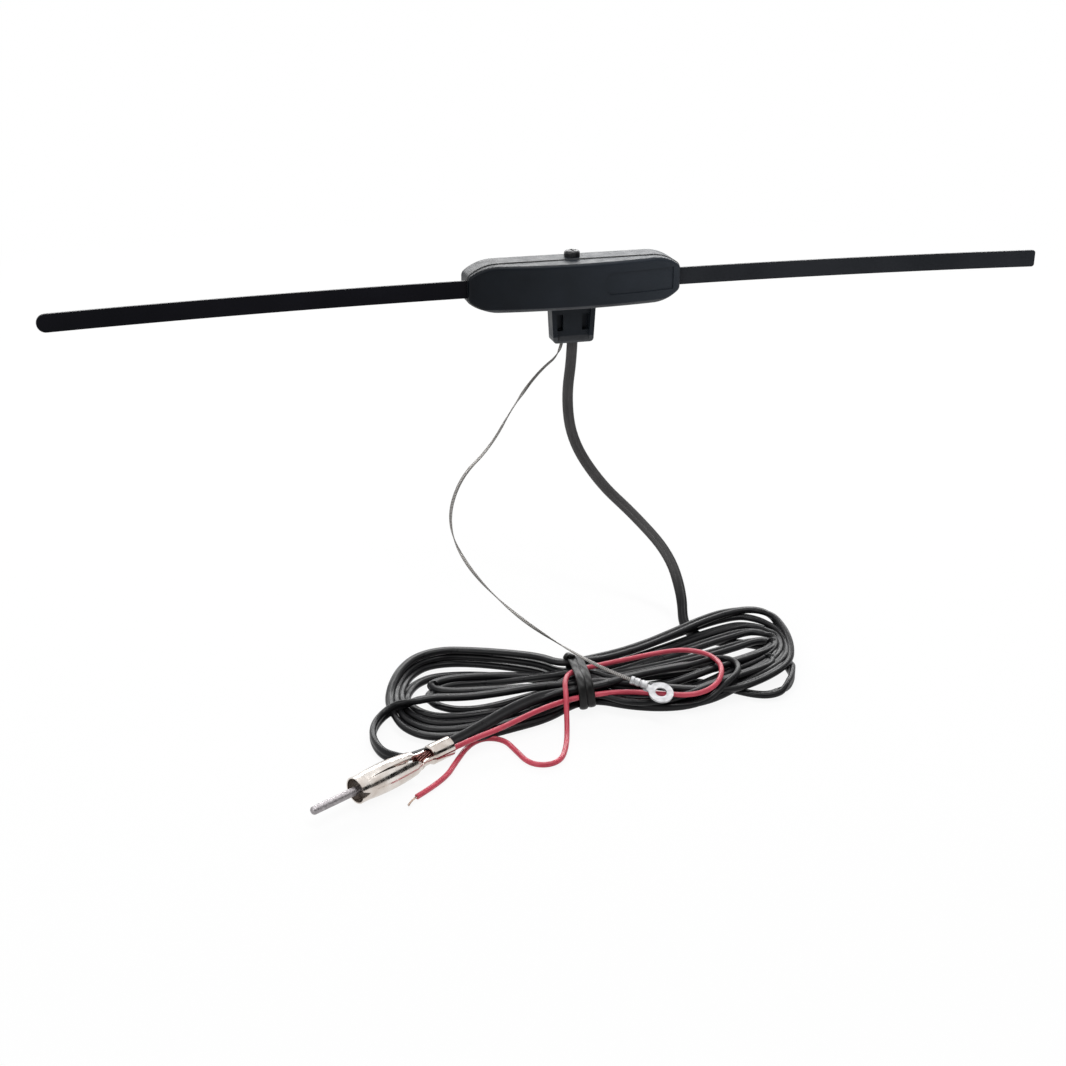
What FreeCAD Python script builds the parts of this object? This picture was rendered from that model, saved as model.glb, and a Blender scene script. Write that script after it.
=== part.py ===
"""Glass-mount car antenna: amplifier housing with two flexible arms, lead, plug and earth strap.

Millimetres. The origin is the middle of the adhesive pad's face that sticks to the glass.
+X runs along the arms, +Y points into the glass, +Z is up, and the front faces -Y.
"""
import FreeCAD
import Part
import math
import os

# Housing
body_length = 91.6
body_height = 20.2
end_height = 10.2
corner_radius = 19.0
end_fillet = 3.0
wall = 1.8
back_depth = 9.5
cover_depth = 8.0
cover_reveal = 0.35
cover_draft = 0.4
cover_fillet = 1.5
crown_rise = 5.6
slip = 0.1

# Adhesive pad
pad_thickness = 1.0
pad_margin = 1.6

# Bare name panel on the front
panel_left = 11.0
panel_right = 42.0
panel_low = -4.4
panel_high = 5.0
panel_corner = 3.5
panel_depth = 0.5

# Arms
left_reach = 214.0
right_reach = 207.8
arm_width = 7.2
arm_thickness = 1.0
arm_root = 12.0
arm_bow_radius = 1400.0
left_tip_radius = 3.55
right_tip_radius = 1.2

# Circuit board and what is fixed to it
board_thickness = 1.6
board_clearance = 0.4
rivet_inset = 7.0
rivet_shank = 2.5
rivet_head = 4.2
rivet_head_height = 0.8
washer_outer = 5.4
washer_thickness = 0.4

# Amplifier parts on the board's front: places and sizes. Resistors are placed from its lower edge
transistor_x = -3.0
transistor_z = -1.5
transistor_radius = 2.3
transistor_height = 4.6
transistor_flat = 1.2
leg_height = 1.0
leg_width = 0.5
leg_pitch = 1.27
electrolytic_x = 6.5
electrolytic_z = -1.5
electrolytic_radius = 2.5
electrolytic_height = 6.0
electrolytic_groove = 0.3
choke_x = -13.0
choke_z = 0.0
choke_radius = 3.2
choke_waist = 2.5
choke_height = 5.0
choke_flange = 0.9
disc_radius = 2.2
disc_thickness = 1.8
disc_places = ((-20.5, 0.0), (14.0, 0.0), (20.5, 0.0))
resistor_radius = 0.9
resistor_length = 4.6
resistor_lead = 0.5
resistor_rise = 1.2
resistor_places = ((-20.0, 2.9), (-12.0, 2.5), (13.0, 2.5), (20.0, 2.9))

# Cover screws
cover_screw_x = 27.0
cover_screw_shank = 2.6
cover_screw_head = 4.8
cover_screw_head_height = 1.6
cover_screw_grip = 5.0
post_diameter = 6.6
boss_diameter = 5.6

# Screw on the top edge
top_screw_y = -6.0
top_screw_shank = 3.0
top_screw_length = 6.6
top_screw_head = 6.6
top_screw_head_height = 2.6
top_screw_recess = 3.6
top_screw_recess_width = 0.9
top_screw_recess_depth = 1.4
top_boss_width = 8.0
top_boss_drop = 5.6

# Cable outlet
outlet_top_width = 19.2
outlet_bottom_width = 17.4
outlet_height = 15.6
outlet_depth = 7.0
outlet_setback = 0.9
outlet_corner = 1.6
outlet_post = 2.0
outlet_lip = 2.6
outlet_lip_slope = 1.8
outlet_pocket = 1.6
outlet_pocket_drop = 1.8
window_width = 2.9
window_height = 7.0
window_depth = 2.6
window_drop = 3.8
neck_width = 12.0
flange_width = 15.0
flange_thickness = 1.5

# Cords
lead_diameter = 4.0
lead_hole = 4.5
lead_hole_top = 1.2
lead_core_hole = 2.4
lead_x = 0.9
lead_y = -5.4
strap_diameter = 1.6
strap_hole = 1.9
strap_hole_depth = 6.0
strap_approach = 8.0
strap_grip = 3.0
strap_x = -3.4
wire_diameter = 2.0
core_diameter = 1.0
core_length = 8.0
arc_share = 0.45

# Surface that the hank, the plug and the loose wires lie on
surface_z = -136.0

# Hank of lead: three round ends, joined at a tied waist
hank_height = 10.0
hank_fillet = 4.5
waist_x = -27.0
waist_y = -113.0
waist_width = 22.0
left_loop = (-71.0, -105.0, 29.0)
near_loop = (8.0, -106.0, 29.0)
right_loop = (34.0, -101.0, 29.0)

# Tie round the waist
tie_width = 5.5
tie_thickness = 1.5
tie_headroom = 2.8
tie_corner = 1.9
tie_clearance = 0.4
tie_front_room = 3.0

# Aerial plug, along its own axis from the front rim to the crimp
plug_rim_x = -121.9
plug_rim_y = -166.2
plug_turn = 29.6
sleeve_radius = 4.8
sleeve_bulge = 5.2
sleeve_wall = 0.45
rim_length = 3.5
sleeve_length = 30.0
shoulder_start = 25.0
shoulder_radius = 4.4
neck_radius = 2.9
neck_length = 2.5
crimp_radius = 3.6
crimp_length = 10.0
crimp_flare = 1.2
crimp_approach = 7.5
crimp_seam = 0.6
slot_start = 5.5
slot_end = 28.0
slot_start_half = 2.6
slot_end_half = 3.7
tongue_end = 25.0
tongue_end_half = 2.0
notch_width = 2.6
notch_length = 3.0
slot_floor = 0.5
slot_tip_gap = 0.05
cradle_side = 1.0
cradle_end = 0.6
pin_radius = 1.5
pin_exposed = 18.6
pin_tip = 1.2
pin_root_radius = 1.3
pin_buried = 9.0
bush_start = 3.2
bush_length = 5.0
bush_clearance = 0.05

# Ring terminal on the earth strap
ring_outer = 9.5
ring_hole = 4.3
ring_thickness = 0.8
ring_x = -1.6
ring_y = -134.6
ring_rise = 9.6
ring_tilt = 22.0
barrel_heading = 145.0
barrel_start = 5.6
barrel_length = 6.5
barrel_radius = 1.55
barrel_bore = 0.9
barrel_groove = 0.25

# Levels that the pieces share, counted from the glass
back_y = -pad_thickness
floor_y = back_y - wall
parting_y = back_y - back_depth
front_y = parting_y - cover_depth
board_front_y = parting_y + arm_thickness
board_back_y = board_front_y + board_thickness
half_length = body_length / 2
crown_radius = (half_length ** 2 + crown_rise ** 2) / (2 * crown_rise)
crown_centre_y = front_y + crown_radius
half_height = body_height / 2
bottom_z = -half_height
outlet_bottom_z = bottom_z - outlet_height
neck_front_y = parting_y + slip
outlet_front_y = parting_y + outlet_setback
outlet_back_y = outlet_front_y + outlet_depth
lead_top_z = bottom_z - lead_hole_top
arm_middle_y = (parting_y + board_front_y) / 2
board_inset = wall + board_clearance
board_low_z = bottom_z + board_inset

# Along the plug, and across its crimp, where the lead and the red wire lie side by side
crimp_start = sleeve_length + neck_length
crimp_flare_end = crimp_start + crimp_flare
crimp_end = crimp_start + crimp_length
crimp_bore = crimp_radius - sleeve_wall
lead_across = crimp_bore - lead_diameter / 2 - bush_clearance
wire_across = -(crimp_bore - wire_diameter / 2 - bush_clearance)

# Cord routes, chosen by hand
lead_route = [
    (lead_x, lead_y, lead_top_z), (lead_x, lead_y, -31.0), (-2.6, -8.0, -50.0), (-1.4, -13.5, -68.0),
    (9.0, -21.0, -85.5), (21.5, -31.0, -97.5), (30.5, -45.0, -111.0), (32.8, -58.5, -124.0),
    (29.5, -74.0, -131.5),
]
strap_route = [
    (strap_x, lead_y, outlet_bottom_z + 5.0), (strap_x, lead_y, -30.5), (-15.0, -8.5, -37.5),
    (-28.0, -16.0, -49.5), (-40.0, -25.5, -63.0), (-56.0, -36.5, -71.5), (-64.0, -48.5, -86.0),
    (-58.5, -63.0, -100.5), (-44.5, -83.0, -113.0), (-30.0, -103.0, -119.4),
]
tail_route = [
    (-33.0, -119.0, surface_z + 7.5), (-42.0, -125.0, surface_z + 12.6), (-53.0, -129.8, surface_z + 12.8),
    (-65.5, -134.2, surface_z + 9.8),
]
wire_route = [
    (-63.5, -139.5, surface_z + 6.6), (-50.5, -133.0, surface_z + 7.4), (-38.5, -127.8, surface_z + 7.4),
    (-27.0, -125.0, surface_z + 7.2), (-14.0, -128.3, surface_z + 7.0), (-1.0, -135.6, surface_z + 6.8),
    (11.5, -137.8, surface_z + 6.6), (21.5, -135.0, surface_z + 9.4), (26.5, -126.0, surface_z + 12.6),
    (25.5, -113.5, surface_z + 11.8), (17.5, -106.5, surface_z + 11.5), (5.5, -107.2, surface_z + 11.6),
    (-9.0, -109.5, surface_z + 11.4), (-22.0, -111.2, surface_z + 11.4), (-31.0, -113.6, surface_z + 11.6),
    (-35.0, -120.5, surface_z + 12.6), (-36.6, -128.0, surface_z + 11.2), (-37.8, -133.2, surface_z + 5.6),
    (-39.5, -139.8, surface_z + 1.2), (-42.6, -149.5, surface_z + 1.0),
    (-46.9, -158.3, surface_z + 1.0), (-53.2, -160.4, surface_z + 1.0), (-58.8, -157.0, surface_z + 1.0),
    (-61.0, -147.4, surface_z + 1.0), (-63.0, -139.0, surface_z + 1.0), (-69.6, -135.5, surface_z + 1.0),
    (-76.4, -139.2, surface_z + 1.0), (-83.0, -149.0, surface_z + 1.0), (-90.0, -160.6, surface_z + 1.0),
    (-101.3, -168.7, surface_z + 1.0),
]


def vector(point):
    return FreeCAD.Vector(*point)


def cylinder(radius, start, end):
    """Round bar from one point to another."""
    axis = vector(end) - vector(start)
    return Part.makeCylinder(radius, axis.Length, vector(start), axis)


def block(low, high):
    """Box between two opposite corners."""
    size = vector(high) - vector(low)
    return Part.makeBox(size.x, size.y, size.z, vector(low))


def prism(points, along):
    """Straight-sided outline pushed along a direction."""
    corners = [vector(p) for p in points]
    return Part.Face(Part.makePolygon(corners + corners[:1])).extrude(vector(along))


def arc_about(centre, radius, start, end, place):
    """Arc between two angles in degrees, where place turns a flat point into a point in space."""
    ends = [start, (start + end) / 2, end]
    return Part.Arc(*[place(centre[0] + radius * math.cos(math.radians(a)),
                            centre[1] + radius * math.sin(math.radians(a))) for a in ends]).toShape()


def angle_of(centre, point):
    return math.degrees(math.atan2(point[1] - centre[1], point[0] - centre[0]))


def body_outline(inset, y):
    """The housing's outline, drawn in by inset: long edges that curve into blunt, rounded ends."""
    drop = (body_height - end_height) / 2
    run = math.sqrt(2 * corner_radius * drop - drop * drop)
    big = (half_length - run, half_height - corner_radius)
    big_radius = corner_radius - inset
    small_radius = end_fillet - inset
    end_x = half_length - inset
    small_x = end_x - small_radius
    small_z = big[1] + math.sqrt((big_radius - small_radius) ** 2 - (small_x - big[0]) ** 2)
    small = (small_x, small_z)
    lean = angle_of(big, small)
    edges = []
    for side_x, side_z in ((1, 1), (-1, 1), (-1, -1), (1, -1)):
        def place(x, z):
            return FreeCAD.Vector(side_x * x, y, side_z * z)
        edges.append(arc_about(small, small_radius, 0, lean, place))
        edges.append(arc_about(big, big_radius, lean, 90, place))
    top = half_height - inset
    for side in (1, -1):
        edges.append(Part.LineSegment(FreeCAD.Vector(-big[0], y, side * top),
                                      FreeCAD.Vector(big[0], y, side * top)).toShape())
        edges.append(Part.LineSegment(FreeCAD.Vector(side * end_x, y, -small_z),
                                      FreeCAD.Vector(side * end_x, y, small_z)).toShape())
    return Part.Wire(Part.__sortEdges__(edges))


def body_prism(inset, start_y, end_y):
    return Part.Face(body_outline(inset, start_y)).extrude(FreeCAD.Vector(0, end_y - start_y, 0))


def crown(radius):
    """Upright drum whose near side is the housing's curved front."""
    centre = (0, crown_centre_y, -body_height)
    return cylinder(radius, centre, (0, crown_centre_y, body_height))


def crown_y(x, radius):
    return crown_centre_y - math.sqrt(radius * radius - x * x)


def cover_form(inset, radius):
    """Drafted and crowned body, without its rounded edge."""
    beyond = front_y - 1.0
    wires = [body_outline(inset, parting_y), body_outline(inset + cover_draft, beyond)]
    return Part.makeLoft(wires, True, True).common(crown(radius))


def name_panel():
    """Shallow field sunk below the crowned front, with a rounded left end."""
    field = block((panel_left, front_y - cover_depth, panel_low), (panel_right, parting_y, panel_high))
    corners = [e for e in field.Edges if abs(e.BoundBox.YLength - e.Length) < 1e-6
               and abs(e.BoundBox.XMax - panel_left) < 1e-6]
    return field.makeFillet(panel_corner, corners).cut(crown(crown_radius - panel_depth))


def front_cover():
    body = cover_form(cover_reveal, crown_radius)
    rim = [e for e in body.Edges if e.BoundBox.YMax < parting_y - 1e-6 and on_crown(e)]
    body = body.makeFillet(cover_fillet, rim)
    body = body.cut(cover_form(cover_reveal + wall, crown_radius - wall))
    for side in (-1, 1):
        x = side * cover_screw_x
        inner_end = crown_y(x, crown_radius - wall / 2)
        body = body.fuse(cylinder(boss_diameter / 2, (x, board_front_y, 0), (x, inner_end, 0)))
    for side in (-1, 1):
        x = side * cover_screw_x
        tip = board_front_y - cover_screw_grip - slip
        body = body.cut(cylinder(cover_screw_shank / 2 + slip / 2, (x, board_front_y, 0), (x, tip, 0)))
    return body.cut(name_panel()).removeSplitter()


def on_crown(edge):
    """True for an edge whose both ends lie on the crowned front."""
    for vertex in edge.Vertexes:
        if abs(vertex.Point.y - crown_y(vertex.Point.x, crown_radius)) > 1e-4:
            return False
    return True


def back_shell():
    body = body_prism(0, back_y, parting_y)
    body = body.cut(body_prism(wall, floor_y, parting_y))
    for side in (-1, 1):
        x = side * cover_screw_x
        body = body.fuse(cylinder(post_diameter / 2, (x, floor_y, 0), (x, board_back_y, 0)))
    boss_low = half_height - wall - top_boss_drop
    body = body.fuse(block((-top_boss_width / 2, parting_y + slip, boss_low),
                           (top_boss_width / 2, floor_y, half_height - wall)))
    for side in (-1, 1):
        x = side * cover_screw_x
        seat_y = back_y - cover_screw_head_height - slip
        body = body.cut(cylinder(cover_screw_head / 2 + slip, (x, back_y, 0), (x, seat_y, 0)))
        body = body.cut(cylinder(cover_screw_shank / 2 + slip, (x, seat_y, 0), (x, parting_y, 0)))
        reach = [side * (half_length - arm_root), side * (half_length + wall)]
        body = body.cut(block((min(reach), parting_y, -arm_width / 2 - slip),
                              (max(reach), board_front_y, arm_width / 2 + slip)))
    hole_end = half_height - top_screw_length - slip
    body = body.cut(cylinder(top_screw_shank / 2 + slip / 2, (0, top_screw_y, half_height),
                             (0, top_screw_y, hole_end)))
    return body.cut(block((-neck_width / 2 - slip, parting_y, bottom_z),
                          (neck_width / 2 + slip, floor_y, bottom_z + wall)))


def mounting_pad():
    return body_prism(pad_margin, 0, back_y)


def arm(side, reach, tip_radius):
    """Flat strip: straight in the housing, then bowed gently forwards, with eased corners at its tip."""
    near = half_length - arm_root
    bend = math.degrees((reach - half_length) / arm_bow_radius)
    centre = (half_length, arm_middle_y - arm_bow_radius)

    def place(x, y):
        return FreeCAD.Vector(side * x, y, -arm_width / 2)

    radii = (arm_bow_radius + arm_thickness / 2, arm_bow_radius - arm_thickness / 2)
    faces = [(arm_middle_y + arm_thickness / 2, radii[0]), (arm_middle_y - arm_thickness / 2, radii[1])]
    edges = []
    tips = []
    for y, radius in faces:
        edges.append(Part.LineSegment(place(near, y), place(half_length, y)).toShape())
        edges.append(arc_about(centre, radius, 90, 90 - bend, place))
        lean = math.radians(90 - bend)
        tips.append(place(centre[0] + radius * math.cos(lean), centre[1] + radius * math.sin(lean)))
    edges.append(Part.LineSegment(*tips).toShape())
    edges.append(Part.LineSegment(place(near, faces[0][0]), place(near, faces[1][0])).toShape())
    outline = Part.Wire(Part.__sortEdges__(edges))
    strip = Part.Face(outline).extrude(FreeCAD.Vector(0, 0, arm_width))
    corners = [e for e in strip.Edges if abs(e.Length - arm_thickness) < 1e-6
               and abs(e.CenterOfMass.x) > (near + reach) / 2]
    strip = strip.makeFillet(tip_radius, corners)
    x = side * (half_length - rivet_inset)
    return strip.cut(cylinder(rivet_shank / 2 + slip / 2, (x, parting_y, 0), (x, board_front_y, 0)))


def circuit_board():
    board = body_prism(board_inset, board_back_y, board_front_y)
    for side in (-1, 1):
        x = side * cover_screw_x
        board = board.cut(cylinder(cover_screw_shank / 2 + slip, (x, board_back_y, 0), (x, board_front_y, 0)))
        x = side * (half_length - rivet_inset)
        board = board.cut(cylinder(rivet_shank / 2 + slip / 2, (x, board_back_y, 0), (x, board_front_y, 0)))
    boss_low = half_height - wall - top_boss_drop - board_clearance
    half = top_boss_width / 2 + board_clearance
    board = board.cut(block((-half, board_front_y, boss_low), (half, board_back_y, half_height)))
    flange_top = bottom_z + wall + flange_thickness + board_clearance
    half = flange_width / 2 + board_clearance
    return board.cut(block((-half, board_front_y, bottom_z), (half, board_back_y, flange_top)))


def rivet_washers():
    rings = []
    for side in (-1, 1):
        x = side * (half_length - rivet_inset)
        ends = (x, parting_y, 0), (x, parting_y - washer_thickness, 0)
        rings.append(cylinder(washer_outer / 2, *ends).cut(cylinder(rivet_shank / 2 + slip / 2, *ends)))
    return Part.makeCompound(rings)


def arm_rivets():
    """Two eyelets: a flat head on the washer, a shank, and a rolled-over foot behind the board."""
    rivets = []
    seat_y = parting_y - washer_thickness
    for side in (-1, 1):
        x = side * (half_length - rivet_inset)
        head = cylinder(rivet_head / 2, (x, seat_y - rivet_head_height, 0), (x, seat_y, 0))
        shank = cylinder(rivet_shank / 2, (x, seat_y, 0), (x, board_back_y, 0))
        foot = cylinder(rivet_head / 2, (x, board_back_y, 0), (x, board_back_y + rivet_head_height, 0))
        bore = cylinder(rivet_shank / 4, (x, seat_y - rivet_head_height, 0), (x, floor_y, 0))
        rivets.append(head.fuse([shank, foot]).cut(bore).removeSplitter())
    return Part.makeCompound(rivets)


def cover_screws():
    screws = []
    seat_y = back_y - cover_screw_head_height - slip
    for side in (-1, 1):
        x = side * cover_screw_x
        head = cylinder(cover_screw_head / 2, (x, seat_y + cover_screw_head_height, 0), (x, seat_y, 0))
        shank = cylinder(cover_screw_shank / 2, (x, seat_y, 0), (x, board_front_y - cover_screw_grip, 0))
        screws.append(head.fuse(shank).removeSplitter())
    return Part.makeCompound(screws)


def top_screw():
    """Pan-head screw with a cross recess, standing in the boss behind the top edge."""
    seat = (0, top_screw_y, half_height)
    crest = (0, top_screw_y, half_height + top_screw_head_height)
    head = cylinder(top_screw_head / 2, seat, crest)
    rim = [e for e in head.Edges if abs(e.BoundBox.ZMin - crest[2]) < 1e-6]
    head = head.makeFillet(top_screw_head_height * 0.45, rim)
    shank = cylinder(top_screw_shank / 2, seat, (0, top_screw_y, half_height - top_screw_length))
    recess_low = crest[2] - top_screw_recess_depth
    for half_x, half_y in ((top_screw_recess / 2, top_screw_recess_width / 2),
                           (top_screw_recess_width / 2, top_screw_recess / 2)):
        head = head.cut(block((-half_x, top_screw_y - half_y, recess_low),
                              (half_x, top_screw_y + half_y, crest[2])))
    return head.fuse(shank).removeSplitter()


def outlet_half_width(z):
    """Half the cable outlet's width at a level: it tapers downwards."""
    share = (bottom_z - z) / outlet_height
    return (outlet_top_width + share * (outlet_bottom_width - outlet_top_width)) / 2


def cable_outlet():
    """Tapered foot with a framed front, two latch windows, and a neck that slides into the back shell."""
    top = outlet_half_width(bottom_z)
    low = outlet_half_width(outlet_bottom_z)
    foot = prism([(-top, outlet_back_y, bottom_z), (top, outlet_back_y, bottom_z),
                  (low, outlet_back_y, outlet_bottom_z), (-low, outlet_back_y, outlet_bottom_z)],
                 (0, -outlet_depth, 0))
    corners = [e for e in foot.Edges if abs(e.Length - outlet_depth) < 1e-6
               and e.CenterOfMass.z < outlet_bottom_z + 1e-6]
    foot = foot.makeFillet(outlet_corner, corners)
    pocket_top = bottom_z - outlet_pocket_drop
    pocket_low = outlet_bottom_z + outlet_lip
    top = outlet_half_width(pocket_top) - outlet_post
    low = outlet_half_width(pocket_low) - outlet_post
    pocket_y = outlet_front_y + outlet_pocket
    foot = foot.cut(prism([(-top, pocket_y, pocket_top), (top, pocket_y, pocket_top),
                           (low, pocket_y, pocket_low), (-low, pocket_y, pocket_low)],
                          (0, -outlet_pocket, 0)))
    foot = foot.cut(prism([(-low, pocket_y, pocket_low), (-low, outlet_front_y, pocket_low),
                           (-low, outlet_front_y, pocket_low - outlet_lip_slope)], (2 * low, 0, 0)))
    window_top = bottom_z - window_drop
    window_low = window_top - window_height
    outer = outlet_half_width(window_low) - outlet_post
    for side in (-1, 1):
        reach = [side * outer, side * (outer - window_width)]
        foot = foot.cut(block((min(reach), pocket_y, window_low),
                              (max(reach), pocket_y + window_depth, window_top)))
    neck_low = bottom_z
    neck_high = bottom_z + wall
    neck = block((-neck_width / 2, neck_front_y, neck_low), (neck_width / 2, floor_y - slip, neck_high))
    flange = block((-flange_width / 2, neck_front_y, neck_high),
                   (flange_width / 2, floor_y - slip, neck_high + flange_thickness))
    foot = foot.fuse([neck, flange])
    foot = foot.cut(cylinder(lead_hole / 2, (lead_x, lead_y, outlet_bottom_z), (lead_x, lead_y, lead_top_z)))
    core_y = (neck_front_y + floor_y) / 2
    foot = foot.cut(cylinder(lead_core_hole / 2, (lead_x, core_y, lead_top_z), (lead_x, core_y, 0)))
    strap_top = outlet_bottom_z + strap_hole_depth
    strap_ends = (strap_x, lead_y, outlet_bottom_z), (strap_x, lead_y, strap_top)
    return foot.cut(cylinder(strap_hole / 2, *strap_ends)).removeSplitter()


def transistor():
    y = board_front_y - leg_height
    body = cylinder(transistor_radius, (transistor_x, y, transistor_z),
                    (transistor_x, y - transistor_height, transistor_z))
    low = transistor_z - transistor_radius
    body = body.cut(block((transistor_x - transistor_radius, y - transistor_height, low),
                          (transistor_x + transistor_radius, y, low + transistor_flat)))
    legs = []
    for step in (-1, 0, 1):
        x = transistor_x + step * leg_pitch
        legs.append(block((x - leg_width / 2, y, transistor_z - leg_width / 2),
                          (x + leg_width / 2, board_front_y, transistor_z + leg_width / 2)))
    return body.fuse(legs).removeSplitter()


def electrolytic_capacitor():
    """Can with a rolled groove near its foot."""
    x = electrolytic_x
    y = board_front_y
    z = electrolytic_z
    can = cylinder(electrolytic_radius, (x, y, z), (x, y - electrolytic_height, z))
    groove_place = FreeCAD.Vector(x, y - electrolytic_radius / 2, z)
    groove = Part.makeTorus(electrolytic_radius, electrolytic_groove, groove_place, FreeCAD.Vector(0, 1, 0))
    return can.cut(groove)


def choke_coil():
    """Wound drum core: two flanges and the winding between them."""
    y = board_front_y
    levels = (y, y - choke_flange, y - choke_height + choke_flange, y - choke_height)
    radii = (choke_radius, choke_waist, choke_radius)
    slices = [cylinder(r, (choke_x, a, choke_z), (choke_x, b, choke_z))
              for r, a, b in zip(radii, levels, levels[1:])]
    return slices[0].fuse(slices[1:]).removeSplitter()


def ceramic_capacitors():
    """Discs on edge, each on two legs."""
    discs = []
    for x, z in disc_places:
        y = board_front_y - leg_height - disc_radius
        disc = cylinder(disc_radius, (x, y, z - disc_thickness / 2), (x, y, z + disc_thickness / 2))
        legs = [block((x + s * leg_pitch - leg_width / 2, y, z - leg_width / 2),
                      (x + s * leg_pitch + leg_width / 2, board_front_y, z + leg_width / 2)) for s in (-1, 1)]
        discs.append(disc.fuse(legs).removeSplitter())
    return Part.makeCompound(discs)


def resistors():
    """Axial resistors lying along the board, on bent leads."""
    bodies = []
    for x, above_edge in resistor_places:
        z = board_low_z + above_edge
        y = board_front_y - resistor_rise
        half = resistor_length / 2
        body = cylinder(resistor_radius, (x - half, y, z), (x + half, y, z))
        wire = resistor_lead / 2
        legs = [block((x + s * (half + wire) - wire, y - wire, z - wire),
                      (x + s * (half + wire) + wire, board_front_y, z + wire)) for s in (-1, 1)]
        bodies.append(body.fuse(legs).removeSplitter())
    return Part.makeCompound(bodies)


def cord_path(points, name):
    """Straight runs joined by tangent arcs, each as large as its two runs allow."""
    points = [vector(p) for p in points]
    edges = []
    radii = []
    start = points[0]
    for before, corner, after in zip(points, points[1:], points[2:]):
        into = corner - before
        out = after - corner
        half_turn = into.getAngle(out) / 2
        reach = arc_share * min(into.Length, out.Length)
        radius = reach / math.tan(half_turn)
        radii.append(round(radius, 1))
        into.normalize()
        out.normalize()
        inward = (out - into).normalize()
        middle = corner + inward * (radius / math.cos(half_turn) - radius)
        arc_start = corner - into * reach
        arc_end = corner + out * reach
        edges.append(Part.LineSegment(start, arc_start).toShape())
        edges.append(Part.Arc(arc_start, middle, arc_end).toShape())
        start = arc_end
    edges.append(Part.LineSegment(start, points[-1]).toShape())
    path = Part.Wire(edges)
    print(name, "length", round(path.Length, 1), "radii", radii)
    return path


def cord_tube(points, diameter, name):
    path = cord_path(points, name)
    heading = vector(points[1]) - vector(points[0])
    ring = Part.Wire([Part.makeCircle(diameter / 2, vector(points[0]), heading)])
    tube = path.makePipeShell([ring], True, False)
    expected = math.pi * diameter ** 2 / 4 * path.Length
    print(name, "volume", round(tube.Volume, 1), "section times length", round(expected, 1))
    return tube


def waist_arc(loop, side):
    """Circle that leaves the waist level and runs into a round end of the hank: side 1 is the back."""
    edge_y = waist_y + side * waist_width / 2
    across = loop[0] - waist_x
    offset = side * (edge_y - loop[1])
    radius = (across ** 2 + offset ** 2 - loop[2] ** 2) / (2 * (loop[2] - offset))
    return (waist_x, edge_y + side * radius, radius)


def hank_outline():
    """Bow-tie outline: three round ends, joined by a tangent line and by hollow arcs at the waist."""
    def place(x, y):
        return FreeCAD.Vector(x, y, surface_z)

    back_right = waist_arc(right_loop, 1)
    back_left = waist_arc(left_loop, 1)
    front_right = waist_arc(near_loop, -1)
    front_left = waist_arc(left_loop, -1)
    lean = angle_of(near_loop, right_loop) - 90
    arcs = [
        (back_right, -90, angle_of(back_right, right_loop)),
        (right_loop, angle_of(right_loop, back_right), lean),
        (near_loop, lean, angle_of(near_loop, front_right)),
        (front_right, angle_of(front_right, near_loop), 90),
        (front_left, 90, angle_of(front_left, left_loop)),
        (left_loop, angle_of(left_loop, front_left) + 360, angle_of(left_loop, back_left)),
        (back_left, angle_of(back_left, left_loop), -90),
    ]
    edges = [arc_about(circle, circle[2], start, end, place) for circle, start, end in arcs]
    turn = math.radians(lean)
    ends = [place(c[0] + c[2] * math.cos(turn), c[1] + c[2] * math.sin(turn))
            for c in (right_loop, near_loop)]
    edges.insert(2, Part.LineSegment(*ends).toShape())
    return Part.Wire(Part.__sortEdges__(edges))


def coax_hank():
    """Outer shape of the wound lead, with a groove under the waist for the tie."""
    hank = Part.Face(hank_outline()).extrude(FreeCAD.Vector(0, 0, hank_height))
    rim = [e for e in hank.Edges if e.BoundBox.ZMin > surface_z + hank_height - 1e-6]
    hank = hank.makeFillet(hank_fillet, rim)
    half_x = tie_width / 2 + tie_clearance
    half_y = waist_width
    return hank.cut(block((waist_x - half_x, waist_y - half_y, surface_z),
                          (waist_x + half_x, waist_y + half_y, surface_z + tie_thickness + slip)))


def rounded_block(low, high, corner):
    """Box with its edges along X rounded."""
    solid = block(low, high)
    along = [e for e in solid.Edges if abs(e.BoundBox.XLength - e.Length) < 1e-6]
    return solid.makeFillet(corner, along)


def hank_tie():
    """Band round the waist of the hank and the red wire, which runs in front of it and over it."""
    left = waist_x - tie_width / 2
    right = waist_x + tie_width / 2
    near = waist_y - waist_width / 2 - tie_front_room
    far = waist_y + waist_width / 2 + tie_clearance
    low = surface_z + tie_thickness
    high = surface_z + hank_height + tie_headroom
    inner = rounded_block((left, near, low), (right, far, high), tie_corner - tie_thickness)
    outer = rounded_block((left, near - tie_thickness, low - tie_thickness),
                          (right, far + tie_thickness, high + tie_thickness), tie_corner)
    return outer.cut(inner)


def plug_placement():
    """From the plug's own axis, crimp towards +X, to where the plug lies."""
    spot = FreeCAD.Vector(plug_rim_x, plug_rim_y, surface_z + sleeve_bulge)
    return FreeCAD.Placement(spot, FreeCAD.Rotation(FreeCAD.Vector(0, 0, 1), plug_turn))


def on_plug(shape):
    placed = shape.copy()
    placed.Placement = plug_placement()
    return placed


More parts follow.
